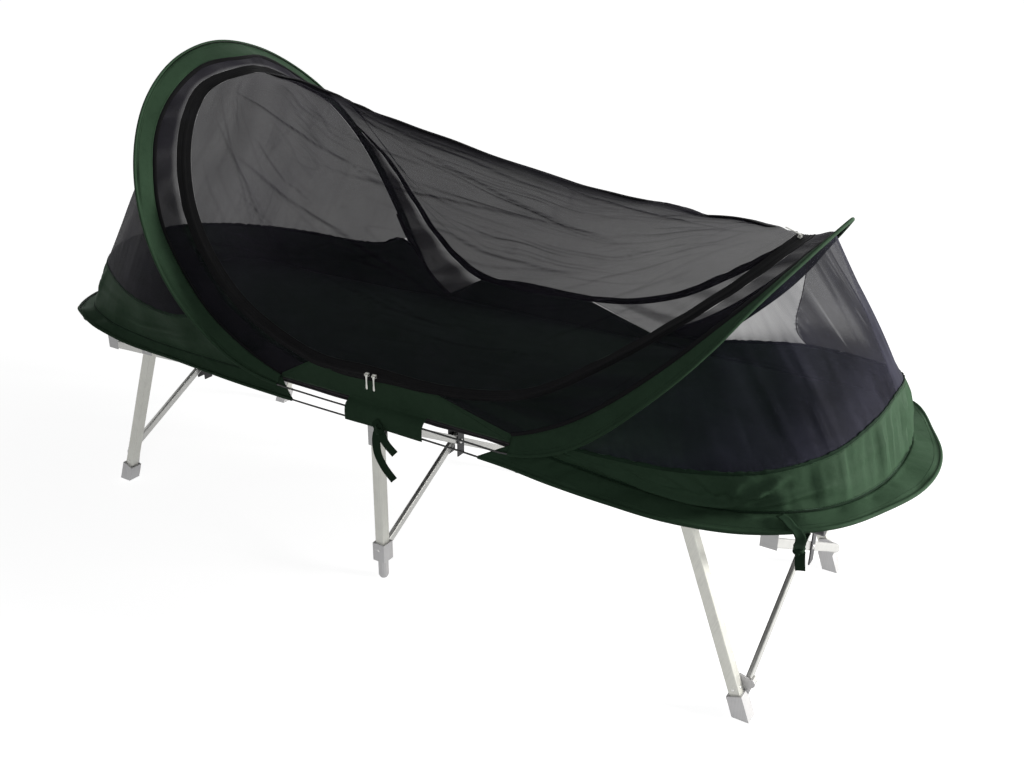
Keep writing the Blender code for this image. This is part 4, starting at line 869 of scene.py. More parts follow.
def tape_material(name, colour=(0.0045, 0.0045, 0.005), rib=0.0016, coil=False):
    """Woven tape with ribs across it and, for a zip, the coil's turns along the middle."""
    material, tree, shader, place, uv = start_material(name, 0.7, specular=0.08)
    paint(tree, shader, noise(tree, place, 22.0, 4.0, 0.6), colour, ((0.3, 0.7), (0.7, 1.5)))
    depth, strength = (0.0006, 0.8) if coil else (0.0003, 0.6)
    ribs = threads(tree, uv, rib, "X")
    bumped(tree, shader, [(ribs, depth, strength), (threads(tree, uv, rib * 1.7, "Y"), 0.00012, 0.4)])
    return material


def metal_material(name, colour, roughness, lean=0.0, axis="Z", metallic=1.0, lines=0.35):
    """Drawn metal with fine lines along one direction and faint handling marks."""
    material, tree, shader, place, _ = start_material(name, roughness, metallic)
    scale = [4.0 if direction == axis else 420.0 for direction in "XYZ"]
    turned = stretched(tree, place, (1.0, 1.0, 1.0), (0.0, lean, 0.0))
    drawn = noise(tree, stretched(tree, turned, scale), 1.0, 3.0, 0.6)
    marks = noise(tree, place, 28.0, 6.0, 0.7)
    mixed = maths(tree, "MULTIPLY_ADD", marks, 0.5, maths(tree, "MULTIPLY", drawn, 0.5))
    paint(tree, shader, mixed, colour, ((0.32, 0.86), (0.5, 1.0), (0.68, 1.07)))
    rough = maths(tree, "MULTIPLY_ADD", mixed, 0.22, roughness - 0.11)
    tree.links.new(rough, shader.inputs["Roughness"])
    bumped(tree, shader, [(drawn, 0.00012, lines), (marks, 0.0003, 0.12)])
    return material


def plastic_material(name, colour, roughness=0.5, grain=900.0):
    """Moulded plastic with a fine sparked surface and light scuffs."""
    material, tree, shader, place, _ = start_material(name, roughness, specular=0.45)
    patch = noise(tree, place, 45.0, 5.0, 0.65)
    spark = noise(tree, place, grain, 2.0, 0.5)
    paint(tree, shader, patch, colour, ((0.3, 0.82), (0.55, 1.0), (0.75, 1.1)))
    rough = maths(tree, "MULTIPLY_ADD", patch, 0.25, roughness - 0.12)
    tree.links.new(rough, shader.inputs["Roughness"])
    bumped(tree, shader, [(patch, 0.0004, 0.2), (spark, 0.0001, 0.35)])
    return material


def dress(obj, material, body=TENT):
    """Gives a new piece its material and body."""
    obj.data.materials.clear()
    obj.data.materials.append(material)
    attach(obj, body)
    return obj


def add_cloth(node, grids, looks, held, rests_on, rows=(), names=None, thickness=CLOTH, **shape):
    """A cloth in a CAD node's place, with its stitching. looks are two materials and a slot; the slot is not
    used.
    """
    name, stitching = names or (f"{node}_cloth", f"{node}_stitching")
    material, thread_material, slot = looks
    cloth = dress(sheet_mesh(name, grids, thickness, **shape), material)
    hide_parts(node)
    with_pieces = [dress(stitches(stitching, rows), thread_material)] if rows else ()
    declare(cloth, grids)


def green_looks(materials):
    """The looks of every piece of green cloth: its cloth and thread materials and a slot name."""
    return materials["green"], materials["thread"], "green_cloth"


def add_net(node, grid, dense, material, held, neighbour):
    """A net in a CAD node's place, with its extra thread cover at each point."""
    looks = (material, None, "black_net")
    add_cloth(node, [grid], looks, held, [neighbour], thickness=0.0, dense=[dense])


def redress(node, material):
    """Gives a CAD node a new material."""
    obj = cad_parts[node]
    obj.data.materials.clear()
    obj.data.materials.append(material)
    for polygon in obj.data.polygons:
        polygon.material_index = 0
    return obj


# Camera and studio


def build_camera():
    """The photo's camera."""
    cos, sin = math.cos, math.sin
    flat = cos(CAMERA_PITCH)
    forward = Vector((sin(CAMERA_YAW) * flat, cos(CAMERA_YAW) * flat, -sin(CAMERA_PITCH)))
    level = Vector((cos(CAMERA_YAW), -sin(CAMERA_YAW), 0.0))
    upright = level.cross(forward)
    right = cos(CAMERA_ROLL) * level + sin(CAMERA_ROLL) * upright
    up = -sin(CAMERA_ROLL) * level + cos(CAMERA_ROLL) * upright
    matrix = Matrix((right, up, -forward)).transposed().to_4x4()
    matrix.translation = CAMERA_AT
    data = bpy.data.cameras.new("camera")
    data.lens = CAMERA_LENS
    data.sensor_width = 36.0
    data.clip_start = 0.05
    camera = bpy.data.objects.new("camera", data)
    camera.matrix_world = matrix
    bpy.context.scene.collection.objects.link(camera)
    bpy.context.scene.camera = camera


def empty_tree(owner):
    """The emptied tree of a world or material, and 1 for its camera, glossy and transmission rays."""
    owner.use_nodes = True
    tree = owner.node_tree
    tree.nodes.clear()
    path = add_node(tree, "ShaderNodeLightPath")
    either = maths(tree, "MAXIMUM", path.outputs["Is Camera Ray"], path.outputs["Is Glossy Ray"])
    return tree, maths(tree, "MAXIMUM", either, path.outputs["Is Transmission Ray"])


def show_seen(tree, seen, dim, bright, output):
    """Gives the seen rays the bright shader and all others the dim one."""
    inputs = {"Fac": seen, 1: dim.outputs[0], 2: bright.outputs[0]}
    mix = add_node(tree, "ShaderNodeMixShader", inputs)
    add_node(tree, output, {"Surface": mix.outputs[0]})


def build_world(ambient):
    """A white surround for the seen rays, and a dim one for the light."""
    world = bpy.data.worlds.new("studio")
    bpy.context.scene.world = world
    tree, seen = empty_tree(world)
    white = add_node(tree, "ShaderNodeBackground", {"Color": (1, 1, 1, 1), "Strength": 1.0})
    dim = add_node(tree, "ShaderNodeBackground", {"Color": (0.93, 0.96, 1, 1), "Strength": ambient})
    show_seen(tree, seen, dim, white, "ShaderNodeOutputWorld")


def build_floor(size, near_glow, far_glow, grey, bounce):
    """A pale floor: it glows to the camera only, so that it reads white and keeps the shadow."""
    grid = np.zeros((2, 2, 3))
    grid[..., 0] = np.array([[-1], [1]]) * size / 2
    grid[..., 1] = np.array([[-1, 1]]) * size / 2
    grid[..., 2] = -0.0005
    floor = sheet_mesh("floor", [grid])
    material = bpy.data.materials.new("floor_paper")
    tree, seen = empty_tree(material)
    place = add_node(tree, "ShaderNodeTexCoord").outputs["Object"]
    away = add_node(tree, "ShaderNodeVectorMath", {0: place}, operation="LENGTH").outputs["Value"]
    glow = mapped(tree, away, *GLOW_REACH, near_glow, far_glow, interpolation_type="SMOOTHSTEP")
    pale = add_node(tree, "ShaderNodeBsdfDiffuse", {"Color": (grey, grey, grey, 1)})
    light = add_node(tree, "ShaderNodeEmission", {"Strength": glow})
    both = add_node(tree, "ShaderNodeAddShader", {0: pale.outputs[0], 1: light.outputs[0]})
    dull = add_node(tree, "ShaderNodeBsdfDiffuse", {"Color": (bounce, bounce, bounce, 1)})
    show_seen(tree, seen, dull, both, "ShaderNodeOutputMaterial")
    floor.data.materials.append(material)


def area_light(name, at, target, size, power, colour=(1.0, 1.0, 1.0)):
    """A square lamp that looks at a target."""
    data = bpy.data.lights.new(name, "AREA")
    data.shape = "SQUARE"
    data.size = size
    data.energy = power
    data.color = colour
    light = bpy.data.objects.new(name, data)
    direction = Vector(target) - Vector(at)
    light.rotation_euler = direction.to_track_quat("-Z", "Y").to_euler()
    light.location = at
    bpy.context.scene.collection.objects.link(light)


def build_studio():
    """The world, the floor and three lamps."""
    build_world(ambient=0.045)
    build_floor(size=60.0, near_glow=0.93, far_glow=0.995, grey=0.45, bounce=0.12)
    area_light("key", (4.2, 1.3, 1.75), (0.1, 0.0, 0.6), 1.1, 215.0, (1.0, 0.985, 0.95))
    area_light("top", (1.6, 0.9, 3.4), (0.4, 0.0, 0.4), 2.0, 9.0)
    area_light("front", (1.9, -3.0, 1.5), (0.6, 0.0, 0.5), 1.4, 16.0, (0.97, 0.98, 1.0))


# Tent lines


def tent_lines():
    """Each line's three parts, from the head end to the foot end on the far side."""
    lines = {}
    for name, parts in OUTLINES.items():
        for number, (part, points, count) in enumerate(zip(PARTS, parts, COUNTS)):
            before = parts[number - 1][-2] if number > 0 else None
            after = parts[number + 1][1] if number < 2 else None
            lines[name, part] = smooth_curve(points, count, before, after)
    return lines


def whole_line(lines, name):
    """A line's three parts as one run."""
    curves = [lines[name, part] for part in PARTS]
    return np.vstack([curves[0], curves[1][1:], curves[2][1:]])


def ring_of(half):
    """A closed run from a far half line and its mirror image."""
    return np.vstack([half, mirrored(half)[-2:0:-1]])


def hem_grid(inner, wire, flat_steps):
    """A flange's flat part, from its inner edge to the wire, and its roll almost round the wire."""
    tangent = unit(np.gradient(wire, axis=0))
    inward = square_to(tangent, inner - wire)
    side = np.cross(tangent, inward)
    angles = HEM_START + np.linspace(0, HEM_TURN, HEM_STEPS)
    roll = [wire + HEM_RADIUS * (math.cos(a) * inward + math.sin(a) * side) for a in angles]
    return span(inner, roll[0], flat_steps), np.stack(roll, axis=1)


def build_flanges(kind, lines, materials):
    """The green flanges on a hoop, puckered, stitched and rolled round the wire, and their inner seam."""
    (outer, inner, hoop), flat_steps, folds, wave, (start, reach), stitched = FLANGES[kind]
    for number, part in enumerate(ENDS):
        wire = both_sides(lines[outer, part], part)
        edge = both_sides(lines[inner, part], part)
        flat, roll = hem_grid(pulled_in(edge, wire, SEAM_GAP + CLOTH), wire, flat_steps)
        along, across = surface_lengths(flat)
        left = across.max() - across
        drawn = np.zeros_like(along)
        for away, (seed, *fold) in zip((across, left), folds):
            drawn += creases(along, away, seed + number, *fold)
        drawn += waves(along, across, wave[0] + number, *wave[1:])
        pinned = np.clip(np.minimum(across + start, left) / reach, 0, 1)
        flat = flat + grid_normals(flat) * (drawn * pinned)[..., None]
        grid = np.concatenate([flat, roll[:, 1:]], axis=1)
        rows = seam_rows(flat, grid_normals(flat), stitched)
        add_cloth(f"{kind}_{part}", [grid], green_looks(materials), "stretched", [hoop], rows)
        if kind == "sleeve":
            toward = unit(both_sides(lines["zip", part], part) - edge)
            binding = tube_mesh(f"binding_{part}", edge + toward * 0.0028, (0.0021, 0.0052), up=toward)
            dress(binding, materials["tape"])
        else:
            welt = tube_mesh(f"seam_{part}", edge + np.array([0.0, 0.0, 0.0005]), (0.0016, 0.0034), 8)
            dress(welt, materials["dark_seam"])


def build_hoops(lines, materials):
    """The two closed wires."""
    for name, line in (("base_hoop", "hoop"), ("upper_hoop", "wire")):
        route = ring_of(whole_line(lines, line))
        obj = tube_mesh(f"{name}_wire", route, (WIRE_RADIUS, WIRE_RADIUS), 10, closed=True)
        dress(obj, materials["wire"])
        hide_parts(name)


def skirt_top(part):
    """The skirt's upper edge: its seam with the end net, then down along the piping."""
    if part == "head":
        return smooth_curve(SKIRT_TOP_HEAD + SKIRT_LOW_HEAD, COUNTS[0])
    return smooth_curve(SKIRT_LOW_FOOT + SKIRT_TOP_FOOT, COUNTS[2])


def skirt_folds(part, along, across):
    """Upright gathers round the end and long slanting folds along the sides."""
    middle_along = along[along.shape[0] // 2, 0]
    height = across.max()
    level = across / height
    near_end = np.clip(1.35 - np.abs(along - middle_along) / 0.42, 0, 1)
    seed = 61 if part == "head" else 71
    upright = creases(along, across, seed, pitch=0.024, height=0.0120, reach=0.16, width=0.20)
    upright += creases(along, height - across, seed + 1, pitch=0.016, height=0.0028, reach=0.030)
    upright += creases(along, across, seed + 2, pitch=0.014, height=0.0024, reach=0.024)
    pulls = waves(along, across, seed + 3, length=0.12, height=0.0022)
    long_folds = np.zeros_like(along)
    rng = np.random.default_rng(seed + 4)
    for _ in range(SKIRT_LONG_FOLDS):
        row = rng.uniform(0.10, 0.90)
        start = rng.uniform(along.min(), along.max())
        reach = rng.uniform(0.10, 0.26)
        rise = rng.uniform(0.1, 0.6) * np.sign(middle_along - start) * 0.4
        centre = row + rise * (along - start) / reach
        near = np.exp(-(((along - start) / reach) ** 2))
        profile = np.exp(-(((level - centre) / rng.uniform(0.05, 0.10)) ** 2))
        long_folds += rng.uniform(0.0012, 0.0034) * near * profile
    puckers = creases(along, height - across, seed + 5, pitch=0.014, height=0.0022, reach=0.018)
    total = upright * near_end + (pulls + long_folds) * (0.35 + 0.65 * (1 - near_end)) + puckers
    return total * np.sin(math.pi * np.clip(level, 0, 1)) ** 0.45


def build_net_seam(part, materials):
    """The gathered binding where the end net is sewn to the skirt."""
    line = even_rows(both_sides(skirt_top(part), part), 560)
    along = lengths(line)
    rng = np.random.default_rng(300 + len(part))
    places = np.arange(0, along[-1] + GATHER_PITCH, GATHER_PITCH)
    shift = np.interp(along, places, rng.normal(0, 1, int(along[-1] / GATHER_PITCH) + 2))
    line[:, 2] += 0.0004 * shift
    shift = np.clip(shift, -1.4, 1.4)
    radii = np.stack([0.0013 + 0.0004 * np.abs(shift), 0.0042 + 0.0006 * shift], axis=1)
    obj = tube_mesh(f"net_seam_{part}", line, np.maximum(radii, 0.001))
    dress(obj, materials["dark_seam"])


def build_skirts(lines, materials):
    """The upright green walls at the ends, with gathers, folds from the ties and stitched seams."""
    for part in ENDS:
        top = both_sides(skirt_top(part), part)
        seam = both_sides(lines["seam", part], part)
        grid = span(pulled_in(top, seam, NET_GAP), pulled_in(seam, top, SKIRT_GAP), 30)
        normals, along, across = measured(grid, (0.0, 0.0, 0.55))
        routes = []
        u, v = SKIRT_TIES[part]
        for end_u, end_v, width, height in SKIRT_PULLS[part]:
            places = ((u, v), ((u + end_u) / 2, (v + end_v) / 2 - 0.04), (end_u, end_v))
            line = smooth_curve([grid_point(grid, *place) for place in places], 14)
            routes.append((line, width, SKIRT_PULL_SCALE * height, 0.0))
        sewn = np.clip(np.minimum(across, across.max() - across) / SEWN_REACH, 0, 1)
        drawn = skirt_folds(part, along, across) + add_folds(grid, routes)[0] * sewn
        grid = grid + normals * drawn[..., None]
        rows = seam_rows(grid, normals, ((1, 1), (-2, 1)))
        add_cloth(f"skirt_{part}", [grid], green_looks(materials), "gathered", [f"seam_{part}"], rows)
        build_net_seam(part, materials)


def foot_seam_row(level):
    """The row, of 200, of the foot net's inner seam at a share of the way down."""
    start, stop = NET_FOOT_SEAM
    return start + (stop - start) * (level + NET_SEAM_BOW * level * (1 - level))


def build_foot_net_seam(grid, materials):
    """The dark seam down each side of the foot net."""
    points = [grid_point(grid, foot_seam_row(v) / 200, v) for v in np.linspace(0, 1, 30)]
    up = unit(np.array(points) - INSIDE)
    joint = tube_mesh("net_foot_seam", points, (0.0022, 0.0010), 8, up=up)
    dress(joint, materials["seam"])


def end_net_cover(part, along, left, level, folds, ends):
    """An end net's extra thread cover: bunched at its hem, denser over the head net's near half, and denser
    over the foot net's far half up to its inner seam, where lighter streaks of thinner cover are painted
    highlights.
    """
    rows = np.arange(len(along))[:, None]
    bunched = 0.20 * np.exp(-left / 0.012) * (0.5 + 0.5 * np.sin(along / 0.0042))
    cover = np.clip(folds / 0.030, -0.05, 0.12) * ends + bunched
    if part == "head":
        nearness = np.clip((0.50 - rows / len(along)) / 0.30, 0, 1)
        return 0.3 * cover + 0.26 * nearness**2 * (3 - 2 * nearness)
    cover += 0.22 * np.exp(-((left / 0.055) ** 2))
    behind = (rows > len(along) // 2) & (rows < foot_seam_row(level))
    # Painted highlights: lighter streaks down the foot net's far half, where the thread cover is thinned so
    # that the backdrop shows through.
    painted_highlight_streaks = creases(along, left, 87, pitch=0.020, height=1.0, reach=0.60, width=0.10)
    return cover + (0.40 - 0.15 * np.clip(painted_highlight_streaks, 0, 1)) * behind


def build_end_nets(materials):
    """The nets that close the two ends, gathered along the skirt."""
    for number, part in enumerate(ENDS):
        foot = part == "foot"
        outlines = (PIPING_FOOT[1:], SKIRT_TOP_FOOT) if foot else (PIPING_HEAD[:8], SKIRT_TOP_HEAD)
        arch, base = (both_sides(smooth_curve(outline, COUNTS[0]), part) for outline in outlines)
        upper = pulled_in(pulled_in(arch, base, NET_GAP), np.array(NET_TUCK[part]), TUCK)
        grid = span(upper, pulled_in(base, arch, 2.2 * NET_GAP), 61)
        normals, along, across = measured(grid, INSIDE)
        level = across / across.max()
        left = across.max() - across
        folds = creases(along, left, 81 + number, pitch=0.030, height=0.0048, reach=0.30, width=0.16)
        folds += creases(along, left, 83 + number, pitch=0.014, height=0.0022, reach=0.040, width=0.25)
        folds += waves(along, across, 85 + number, length=0.17, height=0.0028)
        middle = np.abs(along - along[along.shape[0] // 2, 0])
        ends = np.clip(1.15 - middle / (0.72 if foot else 0.9), 0.25, 1)
        slack = 1.0 if foot else 0.45
        drawn = slack * folds * ends * np.clip(np.sin(math.pi * level), 0, 1) ** 0.5
        grid = grid + normals * drawn[..., None]
        if foot:
            build_foot_net_seam(grid, materials)
        dense = end_net_cover(part, along, left, level, folds, ends)
        material = materials[f"end_net_{part}"]
        add_net(f"net_{part}", grid, dense, material, "gathered", f"binding_{part}")


def build_corner_patches(materials):
    """The stitched patch where the head net, its skirt and the binding meet, on each side."""
    for side, sign in (("near", -1), ("far", 1)):
        points = smooth_curve(PIPING_HEAD[6:9], 24)[4:20] * np.array([1, sign, 1])
        points = points - np.array([0.004, 0.001 * sign, 0.0])
        swell = 0.6 + 0.4 * np.sin(math.pi * np.linspace(0, 1, len(points)))
        radii = np.stack([0.0012 * swell, 0.0095 * swell], axis=1)
        outwards = np.array([0.15, float(sign), 0.25]) + np.zeros_like(points)
        up = np.cross(unit(np.gradient(points, axis=0)), outwards)
        obj = tube_mesh(f"corner_patch_{side}", points, radii, 12, up=up)
        dress(obj, materials["tape"])


def drawn_back(line):
    """The line with both ends drawn back from the neighbours that they would touch."""
    line = line.copy()
    line[0] += unit(line[1] - line[0]) * (SEAM_GAP + CLOTH)
    line[-1] += unit(line[-2] - line[-1]) * (SEAM_GAP + CLOTH)
    return line


def build_strip_nets(lines, materials):
    """The net between the binding and the zip, over each arch."""
    for number, part in enumerate(ENDS):
        piping = both_sides(lines["piping", part], part)
        tape = both_sides(lines["zip", part], part)
        outer = drawn_back(pulled_in(piping, tape, SEAM_GAP + CLOTH))
        inner = drawn_back(pulled_in(tape, piping, ZIP_WIDTH / 2 + SEAM_GAP))
        grid = span(outer, inner, 24)
        normals, along, across = measured(grid, INSIDE)
        folds = creases(along, across, 91 + number, pitch=0.030, height=0.0022, reach=0.050, slant=0.4)
        folds += waves(along, across, 93 + number, length=0.12, height=0.0020)
        drawn = folds * np.clip(np.sin(math.pi * (across / across.max())), 0, 1) ** 0.6
        grid = grid + normals * drawn[..., None]
        dense = np.clip(folds / 0.020, -0.05, 0.12)
        middle = np.abs(along - along[along.shape[0] // 2, 0])
        if part == "head":
            dense += 0.29 / (1 + np.exp((across - 0.056) / 0.003))
        else:
            dense += 0.03 + 0.22 * np.exp(-((middle / 0.22) ** 2))
        material = materials["strip_net"]
        add_net(f"strip_net_{part}", grid, dense, material, "stretched", f"binding_{part}")


def build_zip(lines, materials):
    """The zip tape round the door, with a raised coil, a binding fold and four rows of stitching."""
    tape = whole_line(lines, "zip")
    outer = pulled_in(tape, whole_line(lines, "piping"), ZIP_WIDTH / 2)
    inner = pulled_in(tape, whole_line(lines, "ridge"), ZIP_WIDTH / 2)
    shares, raised = np.array(ZIP_PROFILE).T
    half = [tape + ((outer if share < 0 else inner) - tape) * abs(share) for share in shares]
    half = np.stack(half, axis=1)
    normals, along, across = measured(half, (0.0, 0.0, 0.4))
    ripple = waves(along, across, 101, length=0.09, height=0.0006)
    half = half + normals * (raised[None] * 0.001 + ripple)[..., None]
    ring, ring_normals = ring_of(half), ring_of(normals)
    rows = seam_rows(ring, ring_normals, ((1, 1), (3, 1), (-4, 1), (-2, 1)))
    names = ("zip_band", "zip_stitching")
    looks = (materials["zip_tape"], materials["thread_black"], "black_tape")
    neighbours = ["strip_net_head_cloth", "strip_net_foot_cloth"]
    add_cloth("zip_tape", [ring], looks, "stretched", neighbours, rows, names, thickness=0.0007, closed=True)


def door_routes(grid):
    """The roof net's folds: the long ones that are listed and many fine ones at random."""
    routes = []
    surface = grid[::3, ::3].reshape(-1, 3)
    for first, last, width, height in DOOR_FOLDS:
        ends = [grid_point(grid, u, (v + 1) / 2) for u, v in (first, last)]
        routes.append((pulled_route(surface, *ends, 0.012), width * 0.5, height, 0.20))
    rng = np.random.default_rng(7)
    for _ in range(DOOR_FINE_FOLDS):
        side = rng.choice([-1, 1])
        u, v = rng.uniform(0.06, 0.80), rng.uniform(0.02, 0.90) ** 1.2
        run, rise = rng.uniform(0.10, 0.30), rng.normal(0.03, 0.03)
        ends = [(u, v), (u + run, v + rise)]
        ends = [grid_point(grid, a, (side * min(abs(b), 0.97) + 1) / 2) for a, b in ends]
        line = pulled_route(surface, *ends, rng.uniform(0.0, 0.03))
        width = rng.uniform(0.0025, 0.0060)
        height, darker = rng.uniform(0.0008, 0.0026), rng.uniform(0.03, 0.11)
        routes.append((line, width, height, darker))
    return routes


def pulled_route(surface, start, end, sag):
    """A line along a surface, given as points, that follows the pull between two of its places."""
    share = np.linspace(0, 1, 25)
    chord = start + (end - start) * share[:, None]
    chord[:, 2] -= sag * np.sin(math.pi * share)
    nearest = np.linalg.norm(surface[None] - chord[:, None], axis=2).argmin(axis=1)
    line = surface[nearest]
    for _ in range(6):
        line[1:-1] = (line[:-2] + 2 * line[1:-1] + line[2:]) / 4
    return line


def build_door_net(lines, materials):
    """The roof net inside the zip, with the long pull folds of a slack net."""
    tape = whole_line(lines, "zip")
    ridge = whole_line(lines, "ridge")
    edge_line = even_rows(pulled_in(tape, ridge, ZIP_WIDTH / 2 + SEAM_GAP), DOOR_ROWS)
    ridge_line = even_rows(ridge, DOOR_ROWS)
    share = np.linspace(0, 1, DOOR_ROWS)
    power = 1.9 - 0.7 * np.clip(share / 0.35, 0, 1) + 0.4 * np.clip((share - 0.6) / 0.4, 0, 1)
    columns = np.linspace(-1, 1, DOOR_COLUMNS)
    centre = DOOR_COLUMNS // 2
    away = np.abs(columns)[None]
    step = edge_line - ridge_line
    grid = ridge_line[:, None] + step[:, None] * away[..., None]
    grid[..., 1] *= np.sign(columns)[None]
    grid[..., 2] = ridge_line[:, 2:] + step[:, 2:] * away ** power[:, None]
    normals, along, across = measured(grid, (0.0, 0.0, 0.3))
    folded, dense = add_folds(grid, door_routes(grid))
    drawn = waves(along, across, 111, length=0.30, height=0.0030, stretch=1.2) + folded
    ridge_distance = np.abs(across - across[0, centre])
    bunching = np.exp(-((ridge_distance / 0.020) ** 2))
    phase = waves(along, across, 115, length=0.5, height=2.0)
    drawn += 0.0022 * bunching * np.sin(ridge_distance / 0.0022 + phase)
    dense += 0.24 * bunching
    dense -= 0.07 * np.clip((share[:, None] - 0.45) / 0.35, 0, 1) * np.clip(away / 0.5, 0, 1)
    edge_distance = np.minimum(across, across.max() - across)
    drawn += creases(along, edge_distance, 117, pitch=0.05, height=0.0030, reach=0.07, slant=0.5)
    pinned = np.clip(edge_distance / 0.015, 0, 1)
    ends = np.clip(np.minimum(along, along.max() - along) / 0.03, 0, 1)
    grid = grid + normals * (drawn * pinned * ends)[..., None]
    add_net("door_net", grid, dense, materials["door_net"], "hung", "zip_band")
    middle = grid[2:-2, centre] + np.array([0.0, 0.0, 0.0008])
    dress(tube_mesh("ridge_tape", middle, (0.0050, 0.0009), 8), materials["tape"])


def side_band_parts():
    """The far side's band, its hanging tab and its two corners, as grids."""
    start_x, end_x = SEAM_SIDE[0][0], SEAM_SIDE[-1][0]
    columns = np.unique(np.r_[np.linspace(start_x, end_x, 65), WINDOW_HEAD[1], WINDOW_FOOT[0]])
    share = (columns - start_x) / (end_x - start_x)
    top_x = ZIP_SIDE[0][0] + share * (ZIP_SIDE[-1][0] - ZIP_SIDE[0][0])
    seam_y, seam_z = SEAM_SIDE[0][1:]
    zip_y, zip_z = ZIP_SIDE[0][1:]
    ones = np.ones_like(columns)
    bottom = np.stack([columns, seam_y * ones, seam_z * ones], axis=1)
    top = np.stack([top_x, zip_y * ones, zip_z * ones], axis=1)
    low = pulled_in(bottom, top, NET_GAP)
    high = pulled_in(top, bottom, ZIP_WIDTH / 2 - BAND_OVERLAP) - np.array([0.0, BAND_BEHIND, 0.0])
    band = span(low, high, 12)
    corners = []
    for end in (0, -1):
        beyond = np.array([0.003 * np.sign(PIPING_SIDE[end][0]), -SEAM_LAP, 0.0015])
        edge = np.linspace(np.array(PIPING_SIDE[end]) + beyond, high[end] + beyond / 2, 12)
        corners.append(np.swapaxes(span(band[end], edge, 4), 0, 1))
    inside = (columns >= WINDOW_HEAD[1] - 1e-6) & (columns <= WINDOW_FOOT[0] + 1e-6)
    wire_y, wire_z = WIRE_SIDE[2][1:]
    clear_y = wire_y + (WIRE_RADIUS + CLOTH + SLIDE_GAP)
    route = [
        (0, seam_y, low[0, 2]),
        (0, wire_y - 0.002, wire_z + 0.0125),
        (0, clear_y + 0.001, wire_z + 0.005),
        (0, clear_y + 0.003, wire_z - 0.004),
        (0, clear_y + 0.003, wire_z - TAB_DROP),
    ]
    profile = smooth_curve(route, 16)[:, 1:]
    edge = low[inside]
    tab = np.array([[(x, y + edge_y - low[0, 1], z) for y, z in profile] for x, edge_y, _ in edge])
    tab[:, 0] = edge
    return band, tab, *corners


def build_side_bands(materials):
    """The cloth strip under the zip on each side, with the tab between the windows."""
    parts = side_band_parts()
    for name, side in (("near", -1), ("far", 1)):
        grids = [grid * np.array([1.0, side, 1.0]) for grid in parts]
        for number in (0, 1):
            normals, along, across = measured(grids[number], BAND_INSIDE)
            drawn = waves(along, across, 121 + number + side, length=0.13, height=0.0007)
            drawn += creases(along, across, 125 + number + side, pitch=0.03, height=0.0008, reach=0.02)
            level = across / across.max()
            pinned = np.clip(level * 8, 0, 1) * (np.clip((1 - level) * 8, 0, 1) if number == 0 else 1)
            grids[number] = grids[number] + normals * (drawn * pinned)[..., None]
        rows = []
        for grid, columns in ((grids[0], (1, -2)), (grids[1], (-2, -4))):
            rows += seam_rows(grid, face_normals(grid, BAND_INSIDE), [(column, 1) for column in columns])
        add_cloth(f"side_band_{name}", grids, green_looks(materials), "stretched", ["zip_band"], rows)


def build_tent_floor(lines, materials):
    """The groundsheet, flat over the bed and turned down to the seam all round."""
    seam = whole_line(lines, "seam")
    bed_end = RAIL_LENGTH / 2 + FLOOR_END_MARGIN
    shares = np.r_[-1, -0.985, -0.97, np.linspace(-0.94, 0.94, 61), 0.97, 0.985, 1]
    blend = np.clip((np.abs(shares) - 0.94) / 0.06, 0, 1)
    turned_up = 0.004 * np.clip((np.abs(shares) - 0.985) / 0.015, 0, 1)
    rows = []
    for x, y, z in seam[3:-3:2]:
        tip, first = (seam[0], seam[3]) if x < 0 else (seam[-1], seam[-4])
        bulge = (tip[0] - first[0]) * (first[1] / y) ** 2
        beyond = float(np.clip((abs(x) - bed_end) / (abs(tip[0]) - bed_end), 0, 1))
        middle_z = FLOOR_Z + (tip[2] - FLOOR_Z) * beyond
        level = middle_z * (1 - blend) + z * blend + turned_up
        rows.append(np.stack([x + bulge * (1 - shares**2), y * shares * (1 - SEAM_LAP / y), level], axis=1))
    grid = np.array(rows)
    along, across = surface_lengths(grid)
    calm = np.clip((0.93 - np.abs(shares)[None]) / 0.1, 0, 1)
    soft = waves(along, across, 131, length=0.22, height=0.0010)
    soft = soft + waves(across, along, 133, length=0.12, height=0.0008)
    rng = np.random.default_rng(9)
    routes = []
    for _ in range(FLOOR_FOLDS):
        start = np.array([rng.uniform(-0.95, 0.95), rng.uniform(-0.25, 0.25), FLOOR_Z])
        turn = rng.normal(0.2, 0.7)
        stop = start + np.array([math.cos(turn), math.sin(turn), 0]) * rng.uniform(0.10, 0.35)
        line = np.linspace(start, stop, 6)
        routes.append((line, rng.uniform(0.008, 0.014), rng.uniform(0.002, 0.004), 0.0))
    soft = soft + add_folds(grid, routes)[0]
    ends = np.clip(np.minimum(along, along.max() - along) / 0.1, 0, 1)
    grid[..., 2] += np.abs(soft) * calm * ends
    looks = (materials["groundsheet"], None, "green_cloth")
    add_cloth("tent_floor", [grid], looks, "laid", ["bed_sling"])


def pocket_grids(sign, stops, radius):
    """One rail's pocket: the upper arc, and the loose hanging part between the notches."""
    upper = [(radius * math.cos(a), radius * math.sin(a)) for a in np.radians(np.linspace(90, 0, 9))]
    lower = smooth_curve([(0.0, a, b) for a, b in [(radius, 0), *POCKET_SLACK]], 22)[:, 1:]
    grids = []
    for arc, stretches in ((upper, range(7)), (lower, (0, 2, 4, 6))):
        for i in stretches:
            rows = []
            for x in np.linspace(stops[i], stops[i + 1], 12):
                sag = 0.0012 * math.sin(23 * x + sign) + 0.0008 * math.sin(61 * x)
                hung = [RAIL_Z + b + min(b - POCKET_HANG, 0) * sag * POCKET_SAG for a, b in arc]
                rows.append([(x, sign * (RAIL_Y + a), z) for (a, b), z in zip(arc, hung)])
            grids.append(np.array(rows))
    return grids


